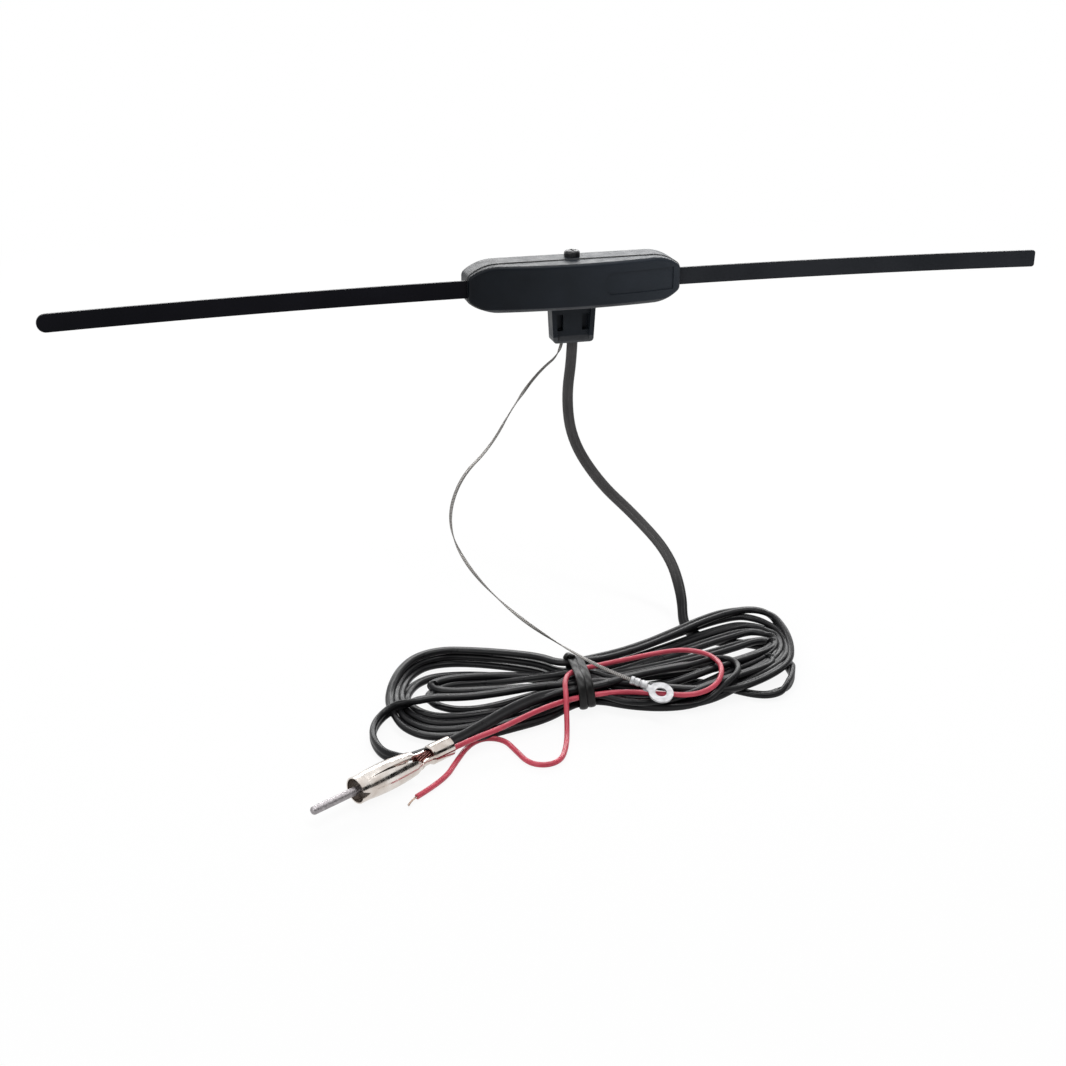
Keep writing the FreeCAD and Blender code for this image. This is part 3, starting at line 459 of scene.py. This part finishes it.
def tie_wraps(finish):
    """Narrow strap wound round the waist, begun and ended below it, and its knob."""
    route = []
    for step in range(TIE_WRAPS * TIE_POINTS + 1):
        share = step / TIE_POINTS
        spot = tie_corner(TIE_START + share)
        sway = TIE_SWAY * math.sin(TIE_SWAY_RATE * share)
        lean = TIE_LEAN * (spot.x - WAIST_Y)
        route.append((TIE_START_X + TIE_ADVANCE * share + lean + sway, spot.x, spot.y))
    line = smooth_line(above_surface(route), TIE_STEPS)
    knob = smooth_line(KNOB_ROUTE, TIE_STEPS)
    rolls = [(line, oval(TIE_WIDTH, TIE_THICKNESS, TIE_SIDES), lambda step: TIE_BROAD_SIDE),
             (knob, oval(KNOB_WIDTH, KNOB_THICKNESS, TIE_SIDES), lambda step: KNOB_BROAD_SIDE)]
    piece = rolled_piece("tie_wraps", rolls, finish)
    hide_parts("hank_tie")
    return piece


def neck_strands(finish):
    """Screen strands gathered round the lead's core where the plug's neck is open."""
    start, end = Vector(NECK_ENDS[0]), Vector(NECK_ENDS[1])
    axis = (end - start).normalized()
    side = axis.cross(Vector((0.0, 0.0, 1.0))).normalized()
    up = side.cross(axis)
    section = oval(NECK_STRAND, NECK_STRAND, STRAND_SIDES)
    rolls = []
    for strand in range(NECK_STRANDS):
        line = []
        uneven = NECK_UNEVEN * math.sin(NECK_UNEVEN_RATE * strand)
        for step in range(NECK_STEPS + 1):
            share = step / NECK_STEPS
            turn = 2 * math.pi * (strand / NECK_STRANDS + NECK_TWIST * share)
            radius = NECK_RADIUS * (1.0 - NECK_WAIST * math.sin(math.pi * share) + uneven)
            outward = side * math.cos(turn) + up * math.sin(turn)
            line.append(start.lerp(end, share) + outward * radius)
        rolls.append((line, section, lambda step: up))
    rolled_piece("neck_strands", rolls, finish)


def red_wire(finish):
    """Round insulated wire, as a curve with its own thickness."""
    wire = spline_object("red_supply_wire", WIRE_ROUTE, WIRE_STEPS)
    wire.data.bevel_depth = WIRE_DIAMETER / 2
    wire.data.bevel_resolution = WIRE_BEVEL
    wire.data.use_fill_caps = True
    wire.data.materials.append(finish)
    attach(wire, "root")
    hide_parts("power_wire")
    return wire


def core_strands(finish):
    """Bare end: fine strands, twisted together, bent a little and open at the tip."""
    start = Vector(WIRE_ROUTE[-1]) - CORE_HEADING * CORE_STRAND
    side = CORE_HEADING.cross(Vector((0.0, 0.0, 1.0))).normalized()
    up = side.cross(CORE_HEADING)
    section = oval(CORE_STRAND, CORE_STRAND, STRAND_SIDES)
    rolls = []
    for strand in range(CORE_STRANDS):
        line = []
        for step in range(CORE_STEPS + 1):
            share = step / CORE_STEPS
            turn = 2 * math.pi * (strand / (CORE_STRANDS - 1) + CORE_TWIST * share)
            radius = CORE_STRAND * (1.0 + CORE_OPENING * share ** 3) if strand else 0.0
            outward = side * math.cos(turn) + up * math.sin(turn)
            bend = side * CORE_BEND * share ** 2
            line.append(start + CORE_HEADING * share * CORE_LENGTH + bend + outward * radius)
        rolls.append((line, section, lambda step: up))
    strands = rolled_piece("core_strands", rolls, finish)
    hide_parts("power_wire_core")
    return strands


def earth_braid(finish):
    """Flat tinned braid, twisting as it hangs."""
    line = smooth_line(STRAP_ROUTE, STRAP_STEPS)
    last = len(line) - 1
    section = oval(STRAP_WIDTH, STRAP_THICKNESS, STRAP_SIDES)

    def wide_axis(step):
        share = step / last
        turn = STRAP_FIRST_TURN + STRAP_TURN * share + STRAP_SWING * math.sin(STRAP_SWING_RATE * share)
        return Vector((math.cos(turn), STRAP_TILT, math.sin(turn)))

    strap = rolled_piece("earth_braid", [(line, section, wide_axis)], finish)
    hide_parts("earth_strap")


# Values that a noise node mostly stays between
NOISE_LOW, NOISE_HIGH = 0.3, 0.7


class Finish:
    """A node material on a Principled shader, with short calls for the nodes that the finishes share."""

    def __init__(self, name, colour, roughness, metallic=0.0, specular=0.5):
        self.material = bpy.data.materials.new(name)
        self.material.use_nodes = True
        self.tree = self.material.node_tree
        self.shader = self.tree.nodes["Principled BSDF"]
        self.shader.inputs["Base Color"].default_value = (*colour, 1.0)
        self.shader.inputs["Roughness"].default_value = roughness
        self.shader.inputs["Metallic"].default_value = metallic
        self.shader.inputs["Specular IOR Level"].default_value = specular
        self.coordinates = self.tree.nodes.new("ShaderNodeTexCoord").outputs["Object"]

    def link(self, output, node, socket):
        """Output wired to a node's named socket."""
        self.tree.links.new(output, node.inputs[socket])

    def noise(self, scale, detail=3.0, stretch=None):
        """Noise value, stretched along the axes where that is given."""
        node = self.tree.nodes.new("ShaderNodeTexNoise")
        node.inputs["Scale"].default_value = scale
        node.inputs["Detail"].default_value = detail
        source = self.coordinates
        if stretch:
            mapping = self.tree.nodes.new("ShaderNodeMapping")
            mapping.inputs["Scale"].default_value = stretch
            self.link(source, mapping, "Vector")
            source = mapping.outputs["Vector"]
        self.link(source, node, "Vector")
        return node.outputs["Fac"]

    def ramp(self, value, stops):
        """Colour that a value picks between stops, each a place and a colour."""
        node = self.tree.nodes.new("ShaderNodeValToRGB")
        ends = node.color_ramp.elements
        while len(ends) < len(stops):
            ends.new(0.5)
        for end, (place, colour) in zip(ends, stops):
            end.position = place
            end.color = (*colour, 1.0)
        self.link(value, node, "Fac")
        return node.outputs["Color"]

    def colours(self, value, stops):
        """Base colour that a value picks between stops."""
        self.link(self.ramp(value, stops), self.shader, "Base Color")

    def along(self, axis, stops):
        """Share from 0 to 1 that changes along an axis, at stops that are each a place and its share."""
        low, high = stops[0][0], stops[-1][0]
        split = self.tree.nodes.new("ShaderNodeSeparateXYZ")
        self.link(self.coordinates, split, "Vector")
        level = self.tree.nodes.new("ShaderNodeMapRange")
        level.inputs["From Min"].default_value = low
        level.inputs["From Max"].default_value = high
        self.link(split.outputs[axis], level, "Value")
        places = [((place - low) / (high - low), (share, share, share)) for place, share in stops]
        return self.ramp(level.outputs["Result"], places)

    def between(self, share, first, second):
        """Colour that goes from the first to the second with the share."""
        blend = self.tree.nodes.new("ShaderNodeMix")
        blend.data_type = "RGBA"
        factor, first_colour, second_colour = blend.inputs[0], blend.inputs[6], blend.inputs[7]
        self.tree.links.new(share, factor)
        self.tree.links.new(first, first_colour)
        self.tree.links.new(second, second_colour)
        return blend.outputs[2]

    def roughness(self, value, low, high):
        """Roughness that a noise value moves between low and high."""
        node = self.tree.nodes.new("ShaderNodeMapRange")
        node.inputs["From Min"].default_value = NOISE_LOW
        node.inputs["From Max"].default_value = NOISE_HIGH
        node.inputs["To Min"].default_value = low
        node.inputs["To Max"].default_value = high
        self.link(value, node, "Value")
        self.link(node.outputs["Result"], self.shader, "Roughness")

    def bump(self, value, depth, strength=1.0):
        """Relief of a depth in metres."""
        node = self.tree.nodes.new("ShaderNodeBump")
        node.inputs["Distance"].default_value = depth
        node.inputs["Strength"].default_value = strength
        self.link(value, node, "Height")
        self.link(node.outputs["Normal"], self.shader, "Normal")


# Painted light: pale bands on the lower edges of the housing and on its foot's lip, where they catch the
# floor's light, and a painted highlight on the rim along the parting line
FOOT_BOTTOM = -26.2 * MM
FOOT_LIP = -23.3 * MM
LOWER_EDGE = -8.3 * MM
EDGE_BAND = 1.9 * MM
EDGE_BLUR = 0.4 * MM
PARTING = -10.5 * MM
PARTING_BAND = 0.16 * MM

# Painted shading: the housing and the arms are darker at the left and a little paler at the right
HOUSING_REACH = 46.0 * MM
LEFT_TO_RIGHT = [(-HOUSING_REACH, 0.0), (HOUSING_REACH, 1.0)]

# Painted shade and light on the lead: dark up to one height, in the hank, and pale from the other, where it
# hangs
LEAD_DARK = SURFACE + 10.0 * MM
LEAD_PALE = SURFACE + 24.0 * MM

# Repeats of the braid's weave along the strap, round it and through it
WEAVE_REPEATS = (420.0, 12.0, 1.0)


def housing_plastic():
    """Blue-black moulded plastic with a fine eroded grain; painted shading darkens its left, and painted
    light makes its lower edges and parting line pale.
    """
    finish = Finish("housing_plastic", (0.004, 0.006, 0.010), 0.42, specular=0.14)
    grain = finish.noise(60.0, 4.0)
    # Painted shading: the same grain, very dark at the left and paler at the right
    left = finish.ramp(grain, [(0.35, (0.001, 0.002, 0.004)), (0.65, (0.002, 0.004, 0.007))])
    right = finish.ramp(grain, [(0.35, (0.022, 0.028, 0.036)), (0.65, (0.028, 0.034, 0.044))])
    moulded = finish.between(finish.along("X", LEFT_TO_RIGHT), left, right)
    # Painted light: the pale colour of the lower edges and the foot's lip, where the floor's light falls on
    # them
    painted_edge_light = finish.ramp(grain, [(0.35, (0.060, 0.063, 0.069)), (0.65, (0.090, 0.094, 0.100))])
    edges = finish.along("Z", [
        (FOOT_BOTTOM, 1.0), (FOOT_LIP, 1.0), (FOOT_LIP + EDGE_BLUR, 0.0), (LOWER_EDGE - EDGE_BAND, 0.0),
        (LOWER_EDGE - EDGE_BAND + EDGE_BLUR, 1.0), (LOWER_EDGE, 1.0), (LOWER_EDGE + EDGE_BLUR, 0.0),
    ])
    # Painted highlight: the shaded rim in the parting gap is made pale grey
    painted_parting_highlight = finish.ramp(grain, [(0.35, (0.12, 0.12, 0.12)), (0.65, (0.16, 0.16, 0.16))])
    parting = finish.along("Y", [
        (PARTING - PARTING_BAND, 0.0), (PARTING - PARTING_BAND / 2, 1.0),
        (PARTING + PARTING_BAND / 2, 1.0), (PARTING + PARTING_BAND, 0.0),
    ])
    body = finish.between(edges, moulded, painted_edge_light)
    finish.link(finish.between(parting, body, painted_parting_highlight), finish.shader, "Base Color")
    finish.roughness(finish.noise(220.0), 0.38, 0.48)
    finish.bump(finish.noise(2600.0, 2.0), 0.00006, 0.30)
    return finish.material


def arm_sheath():
    """Smooth black sleeve over a spring strip, with faint lengthwise drawing marks."""
    finish = Finish("arm_sheath", (0.004, 0.004, 0.005), 0.38, specular=0.085)
    grain = finish.noise(30.0, 3.0)
    # Painted shading: the sleeves are darker at the left and a little paler at the right
    left = finish.ramp(grain, [(0.35, (0.001, 0.001, 0.003)), (0.65, (0.003, 0.003, 0.006))])
    right = finish.ramp(grain, [(0.35, (0.016, 0.018, 0.022)), (0.65, (0.022, 0.024, 0.029))])
    share = finish.along("X", LEFT_TO_RIGHT)
    finish.link(finish.between(share, left, right), finish.shader, "Base Color")
    finish.roughness(finish.noise(150.0, 3.0, (0.1, 1.0, 1.0)), 0.32, 0.46)
    finish.bump(finish.noise(900.0, 2.0, (0.04, 1.0, 1.0)), 0.00004, 0.3)
    return finish.material


def adhesive_foam():
    """Dark open-celled foam."""
    finish = Finish("adhesive_foam", (0.045, 0.045, 0.045), 0.95)
    finish.colours(finish.noise(800.0, 4.0), [(0.40, (0.020, 0.020, 0.020)), (0.60, (0.070, 0.070, 0.068))])
    finish.bump(finish.noise(1500.0, 3.0), 0.00025, 0.8)
    return finish.material


def board_laminate():
    """Brown paper laminate."""
    finish = Finish("board_laminate", (0.32, 0.20, 0.07), 0.5)
    fibres = finish.noise(500.0, 4.0, (1.0, 1.0, 0.2))
    finish.colours(fibres, [(0.4, (0.27, 0.16, 0.05)), (0.6, (0.36, 0.23, 0.09))])
    finish.bump(finish.noise(1800.0, 2.0), 0.00004, 0.4)
    return finish.material


def tinned_steel():
    """Tin plate, a little uneven."""
    finish = Finish("tinned_steel", (0.72, 0.71, 0.69), 0.34, 1.0)
    finish.colours(finish.noise(420.0, 4.0), [(0.35, (0.62, 0.61, 0.59)), (0.65, (0.82, 0.81, 0.79))])
    finish.roughness(finish.noise(700.0), 0.26, 0.46)
    finish.bump(finish.noise(1400.0, 3.0), 0.00004, 0.35)
    return finish.material


def eyelet_brass():
    """Rolled brass."""
    finish = Finish("eyelet_brass", (0.72, 0.52, 0.22), 0.3, 1.0)
    finish.colours(finish.noise(400.0), [(0.35, (0.60, 0.42, 0.16)), (0.65, (0.78, 0.58, 0.27))])
    finish.roughness(finish.noise(650.0), 0.22, 0.40)
    return finish.material


def black_steel():
    """Blackened steel."""
    finish = Finish("black_steel", (0.010, 0.010, 0.011), 0.36, specular=0.4)
    finish.colours(finish.noise(700.0), [(0.35, (0.006, 0.006, 0.007)), (0.65, (0.016, 0.016, 0.018))])
    finish.roughness(finish.noise(900.0), 0.28, 0.46)
    finish.bump(finish.noise(1600.0), 0.00005, 0.4)
    return finish.material


def component_black():
    """Matt moulded epoxy."""
    finish = Finish("component_black", (0.018, 0.018, 0.018), 0.55)
    finish.colours(finish.noise(900.0), [(0.35, (0.012, 0.012, 0.012)), (0.65, (0.026, 0.026, 0.026))])
    finish.bump(finish.noise(2600.0), 0.00006, 0.5)
    return finish.material


def capacitor_sleeve():
    """Dark blue shrunk sleeve."""
    finish = Finish("capacitor_sleeve", (0.02, 0.03, 0.10), 0.35)
    finish.colours(finish.noise(300.0), [(0.35, (0.015, 0.022, 0.08)), (0.65, (0.028, 0.040, 0.13))])
    finish.roughness(finish.noise(500.0), 0.28, 0.42)
    return finish.material


def winding():
    """Enamelled copper wire, turn beside turn."""
    finish = Finish("winding", (0.45, 0.16, 0.05), 0.35, 1.0)
    turns = finish.noise(900.0, 2.0, (1.0, 8.0, 1.0))
    finish.colours(turns, [(0.4, (0.32, 0.10, 0.03)), (0.6, (0.55, 0.22, 0.08))])
    finish.bump(finish.noise(1200.0, 1.0, (0.2, 6.0, 0.2)), 0.0001, 0.6)
    return finish.material


def disc_ceramic():
    """Dipped brown ceramic."""
    finish = Finish("disc_ceramic", (0.48, 0.25, 0.08), 0.6)
    finish.colours(finish.noise(600.0), [(0.35, (0.42, 0.21, 0.06)), (0.65, (0.54, 0.30, 0.11))])
    finish.bump(finish.noise(900.0), 0.00008, 0.5)
    return finish.material


def resistor_body():
    """Tan lacquer."""
    finish = Finish("resistor_body", (0.50, 0.38, 0.22), 0.5)
    finish.colours(finish.noise(700.0), [(0.35, (0.45, 0.34, 0.19)), (0.65, (0.56, 0.43, 0.26))])
    finish.bump(finish.noise(1100.0), 0.00005, 0.4)
    return finish.material


def lead_jacket():
    """Soft black vinyl, shiny, with painted shade that darkens it in the hank and painted light that makes
    it paler where it hangs free.
    """
    finish = Finish("lead_jacket", (0.009, 0.009, 0.010), 0.32, specular=0.17)
    grain = finish.noise(90.0, 4.0)
    # Painted shade in the hank and painted light where the lead hangs, blended by height
    wound = finish.ramp(grain, [(0.35, (0.006, 0.006, 0.007)), (0.65, (0.012, 0.012, 0.013))])
    painted_hanging_light = finish.ramp(grain, [(0.35, (0.061, 0.059, 0.060)), (0.65, (0.079, 0.076, 0.077))])
    free = finish.along("Z", [(LEAD_DARK, 0.0), (LEAD_PALE, 1.0)])
    finish.link(finish.between(free, wound, painted_hanging_light), finish.shader, "Base Color")
    finish.roughness(finish.noise(260.0), 0.26, 0.38)
    finish.bump(finish.noise(1500.0, 3.0), 0.00005, 0.3)
    return finish.material


def tie_plastic():
    """Soft black plastic strap."""
    finish = Finish("tie_plastic", (0.006, 0.006, 0.006), 0.38, specular=0.25)
    finish.colours(finish.noise(240.0), [(0.35, (0.004, 0.004, 0.004)), (0.65, (0.010, 0.010, 0.010))])
    finish.roughness(finish.noise(420.0), 0.30, 0.48)
    finish.bump(finish.noise(900.0, 3.0), 0.00010, 0.5)
    return finish.material


def plug_metal():
    """Thin pressed steel, bright tinned, warm and stained in places."""
    finish = Finish("plug_metal", (0.66, 0.61, 0.57), 0.2, 1.0)
    finish.colours(finish.noise(160.0, 5.0), [(0.30, (0.54, 0.47, 0.42)), (0.70, (0.78, 0.74, 0.70))])
    finish.roughness(finish.noise(380.0, 4.0), 0.12, 0.28)
    finish.bump(finish.noise(500.0, 3.0), 0.00006, 0.3)
    return finish.material


def pin_metal():
    """Turned pin, dull and scratched."""
    finish = Finish("pin_metal", (0.34, 0.32, 0.33), 0.45, 1.0)
    finish.colours(finish.noise(900.0, 5.0), [(0.30, (0.27, 0.25, 0.26)), (0.70, (0.42, 0.40, 0.41))])
    finish.roughness(finish.noise(1200.0, 4.0), 0.34, 0.60)
    finish.bump(finish.noise(1100.0, 3.0), 0.00005, 0.2)
    return finish.material


def ring_metal():
    """Stamped tinned brass, dull grey."""
    finish = Finish("ring_metal", (0.40, 0.40, 0.41), 0.45, 1.0)
    finish.colours(finish.noise(420.0, 4.0), [(0.35, (0.32, 0.32, 0.33)), (0.65, (0.48, 0.48, 0.49))])
    finish.roughness(finish.noise(700.0), 0.36, 0.56)
    finish.bump(finish.noise(1400.0, 3.0), 0.00006, 0.4)
    return finish.material


def screen_strands():
    """Bare copper gone brown."""
    finish = Finish("screen_strands", (0.20, 0.08, 0.07), 0.42, 1.0)
    finish.colours(finish.noise(700.0, 4.0), [(0.35, (0.12, 0.045, 0.04)), (0.65, (0.30, 0.13, 0.11))])
    finish.roughness(finish.noise(900.0), 0.32, 0.52)
    return finish.material


def plug_bush():
    """Dull brown insulation."""
    finish = Finish("plug_bush", (0.10, 0.085, 0.075), 0.5)
    finish.colours(finish.noise(500.0), [(0.35, (0.080, 0.066, 0.058)), (0.65, (0.13, 0.11, 0.095))])
    finish.bump(finish.noise(900.0), 0.00005, 0.3)
    return finish.material


def red_insulation():
    """Red vinyl."""
    finish = Finish("red_insulation", (0.56, 0.055, 0.09), 0.36, specular=0.45)
    finish.colours(finish.noise(120.0, 4.0), [(0.35, (0.48, 0.042, 0.072)), (0.65, (0.60, 0.070, 0.11))])
    finish.roughness(finish.noise(300.0), 0.30, 0.44)
    finish.bump(finish.noise(1300.0), 0.00004, 0.3)
    return finish.material


def bare_copper():
    """Fine strands, tinned thin so that the copper only warms them."""
    finish = Finish("bare_copper", (0.46, 0.34, 0.28), 0.38, 1.0)
    finish.colours(finish.noise(500.0, 4.0), [(0.35, (0.34, 0.24, 0.19)), (0.65, (0.54, 0.42, 0.35))])
    finish.roughness(finish.noise(800.0), 0.30, 0.48)
    return finish.material


def tinned_braid():
    """Fine tinned wires, woven: the weave runs along the strap's own map."""
    finish = Finish("tinned_braid", (0.22, 0.21, 0.20), 0.45, 1.0)
    finish.coordinates = finish.tree.nodes["Texture Coordinate"].outputs["UV"]
    weave = finish.tree.nodes.new("ShaderNodeTexChecker")
    weave.inputs["Scale"].default_value = 1.0
    mapping = finish.tree.nodes.new("ShaderNodeMapping")
    mapping.inputs["Rotation"].default_value = (0.0, 0.0, math.radians(45.0))
    scale = finish.tree.nodes.new("ShaderNodeMapping")
    scale.inputs["Scale"].default_value = WEAVE_REPEATS
    finish.link(finish.coordinates, scale, "Vector")
    finish.link(scale.outputs["Vector"], mapping, "Vector")
    finish.link(mapping.outputs["Vector"], weave, "Vector")
    finish.colours(weave.outputs["Fac"], [(0.0, (0.09, 0.085, 0.08)), (1.0, (0.30, 0.29, 0.28))])
    finish.bump(weave.outputs["Fac"], 0.00010, 0.7)
    return finish.material


# Each finish, and the CAD nodes that have it
FINISHES = {
    "housing_plastic": (housing_plastic, ["front_cover", "back_shell", "cable_outlet"]),
    "arm_sheath": (arm_sheath, ["left_arm", "right_arm"]),
    "adhesive_foam": (adhesive_foam, ["mounting_pad"]),
    "board_laminate": (board_laminate, ["circuit_board"]),
    "tinned_steel": (tinned_steel, ["rivet_washers", "cover_screws"]),
    "eyelet_brass": (eyelet_brass, ["arm_rivets"]),
    "black_steel": (black_steel, ["top_screw"]),
    "component_black": (component_black, ["transistor"]),
    "capacitor_sleeve": (capacitor_sleeve, ["electrolytic_capacitor"]),
    "winding": (winding, ["choke_coil"]),
    "disc_ceramic": (disc_ceramic, ["ceramic_capacitors"]),
    "resistor_body": (resistor_body, ["resistors"]),
    "lead_jacket": (lead_jacket, ["coax_lead", "coax_hank", "coax_tail"]),
    "tie_plastic": (tie_plastic, ["hank_tie"]),
    "plug_metal": (plug_metal, ["plug_shell"]),
    "pin_metal": (pin_metal, ["plug_pin"]),
    "ring_metal": (ring_metal, ["ring_terminal"]),
    "screen_strands": (screen_strands, []),
    "plug_bush": (plug_bush, ["plug_insulator"]),
    "red_insulation": (red_insulation, ["power_wire"]),
    "bare_copper": (bare_copper, ["power_wire_core"]),
    "tinned_braid": (tinned_braid, ["earth_strap"]),
}


def dress_nodes():
    """Each CAD node gets its finish; the finishes are kept by name for the new pieces."""
    made = {}
    for finish_name, (make, node_names) in FINISHES.items():
        made[finish_name] = make()
        for node_name in node_names:
            nodes[node_name].data.materials.clear()
            nodes[node_name].data.materials.append(made[finish_name])
    return made


def camera():
    """Camera at the photograph's place, turned to the right and tipped down."""
    data = bpy.data.cameras.new("camera")
    data.sensor_width = SENSOR
    data.lens = SENSOR * FOCAL_PIXELS / IMAGE_SIDE
    data.clip_start = CAMERA_NEAR
    item = add_object("camera", data)
    ahead = Vector((math.sin(CAMERA_HEADING), math.cos(CAMERA_HEADING), 0.0))
    forward = ahead * math.cos(CAMERA_PITCH) - Vector((0.0, 0.0, math.sin(CAMERA_PITCH)))
    right = Vector((math.cos(CAMERA_HEADING), -math.sin(CAMERA_HEADING), 0.0))
    up = right.cross(forward)
    turn = Matrix((right, up, -forward)).transposed()
    item.matrix_world = Matrix.Translation(CAMERA_PLACE) @ turn.to_4x4()
    bpy.context.scene.camera = item


# Soft lamps: name, place, width and height, and power, all turned to one point
LAMP_TARGET = Vector((0.0, -0.06, -0.05))
LAMPS = [
    ("behind", (0.25, 1.05, 0.46), (1.7, 0.35), 12.5),
    ("overhead", (0.05, -0.03, 0.95), (1.3, 0.16), 7.0),
    ("front_left", (-0.9, -0.9, 0.75), (0.7, 0.7), 5.0),
]
SURROUND_LIGHT = 0.25

# Corners of the black cards
FRONT_CARD = [(-1.5, -1.5, 0.02), (1.1, -1.5, 0.02), (1.1, -1.5, 1.25), (-1.5, -1.5, 1.25)]
RIGHT_CARD = [(1.3, -1.5, -0.03), (1.3, 0.4, -0.03), (1.3, 0.4, 0.75), (1.3, -1.5, 0.75)]
CARD_BLACK = (0.01, 0.01, 0.01, 1.0)

# The floor keeps shadows up to this far from the object, and is plain white farther out
FLOOR_SHADED = 0.25
FLOOR_WHITE = 0.80
FLOOR_GLOW = 0.91
FLOOR_TONE = (0.90, 0.90, 0.90, 1.0)
FLOOR_REACH = 9.0
FLOOR_DROP = 0.2 * MM


def area_light(name, place, size, power):
    """Rectangular lamp that the camera doesn't see."""
    data = bpy.data.lights.new(name, "AREA")
    data.shape = "RECTANGLE"
    data.size, data.size_y = size
    data.energy = power
    item = add_object(name, data)
    item.location = place
    item.rotation_euler = (LAMP_TARGET - Vector(place)).to_track_quat("-Z", "Y").to_euler()
    item.visible_camera = False


def seen_directly(tree):
    """1 where the camera, a reflection or a see-through surface looks at it, 0 for the light it gives."""
    path = tree.nodes.new("ShaderNodeLightPath")
    seen = path.outputs["Is Camera Ray"]
    for other in ("Is Glossy Ray", "Is Transmission Ray"):
        node = tree.nodes.new("ShaderNodeMath")
        node.operation = "MAXIMUM"
        tree.links.new(seen, node.inputs[0])
        tree.links.new(path.outputs[other], node.inputs[1])
        seen = node.outputs["Value"]
    return seen


def white_floor():
    """Pale matt sheet that reads as white and keeps a little of the object's shadow."""
    material = bpy.data.materials.new("white_floor")
    material.use_nodes = True
    tree = material.node_tree
    matt = tree.nodes["Principled BSDF"]
    matt.inputs["Base Color"].default_value = FLOOR_TONE
    matt.inputs["Roughness"].default_value = 1.0
    glow = tree.nodes.new("ShaderNodeEmission")
    glow.inputs["Strength"].default_value = 1.0
    away = tree.nodes.new("ShaderNodeVectorMath")
    away.operation = "LENGTH"
    tree.links.new(tree.nodes.new("ShaderNodeTexCoord").outputs["Object"], away.inputs[0])
    white = tree.nodes.new("ShaderNodeMapRange")
    white.inputs["From Min"].default_value = FLOOR_SHADED
    white.inputs["From Max"].default_value = FLOOR_WHITE
    white.inputs["To Min"].default_value = FLOOR_GLOW
    tree.links.new(away.outputs["Value"], white.inputs["Value"])
    share = tree.nodes.new("ShaderNodeMath")
    share.operation = "MULTIPLY"
    tree.links.new(white.outputs["Result"], share.inputs[0])
    tree.links.new(seen_directly(tree), share.inputs[1])
    blend = tree.nodes.new("ShaderNodeMixShader")
    tree.links.new(share.outputs["Value"], blend.inputs["Fac"])
    tree.links.new(matt.outputs["BSDF"], blend.inputs[1])
    tree.links.new(glow.outputs["Emission"], blend.inputs[2])
    tree.links.new(blend.outputs["Shader"], tree.nodes["Material Output"].inputs["Surface"])
    bm = bmesh.new()
    bmesh.ops.create_grid(bm, x_segments=1, y_segments=1, size=FLOOR_REACH)
    bmesh.ops.translate(bm, verts=bm.verts, vec=(0.0, 0.0, SURFACE - FLOOR_DROP))
    floor = add_object("floor", finished_mesh("floor", bm, material))


def dark_card(name, corners):
    """Black card beside the set, for the dark bands in bright metal; only reflections see it."""
    material = bpy.data.materials.new(name)
    material.use_nodes = True
    card_shader = material.node_tree.nodes["Principled BSDF"]
    card_shader.inputs["Base Color"].default_value = CARD_BLACK
    card_shader.inputs["Roughness"].default_value = 1.0
    card_shader.inputs["Specular IOR Level"].default_value = 0.0
    bm = bmesh.new()
    for corner in corners:
        bm.verts.new(corner)
    bm.faces.new(bm.verts)
    card = add_object(name, finished_mesh(name, bm, material))
    card.visible_camera = False
    card.visible_diffuse = False
    card.visible_shadow = False


def studio():
    """Pale surround, a long soft lamp behind and above, a weak one overhead and one at the front left."""
    world = bpy.data.worlds.new("surround")
    world.use_nodes = True
    bpy.context.scene.world = world
    tree = world.node_tree
    background = tree.nodes["Background"]
    background.inputs["Color"].default_value = (1.0, 1.0, 1.0, 1.0)
    level = tree.nodes.new("ShaderNodeMapRange")
    level.inputs["To Min"].default_value = SURROUND_LIGHT
    level.inputs["To Max"].default_value = 1.0
    tree.links.new(seen_directly(tree), level.inputs["Value"])
    tree.links.new(level.outputs["Result"], background.inputs["Strength"])
    for lamp in LAMPS:
        area_light(*lamp)


bpy.context.scene.view_settings.view_transform = "Standard"
finishes = dress_nodes()
camera()
tie_piece = tie_wraps(finishes["tie_plastic"])
twin_lead(finishes["lead_jacket"])
wire_piece = red_wire(finishes["red_insulation"])
core_piece = core_strands(finishes["bare_copper"])
earth_braid(finishes["tinned_braid"])
neck_strands(finishes["screen_strands"])
white_floor()
dark_card("front_card", FRONT_CARD)
dark_card("right_card", RIGHT_CARD)
studio()
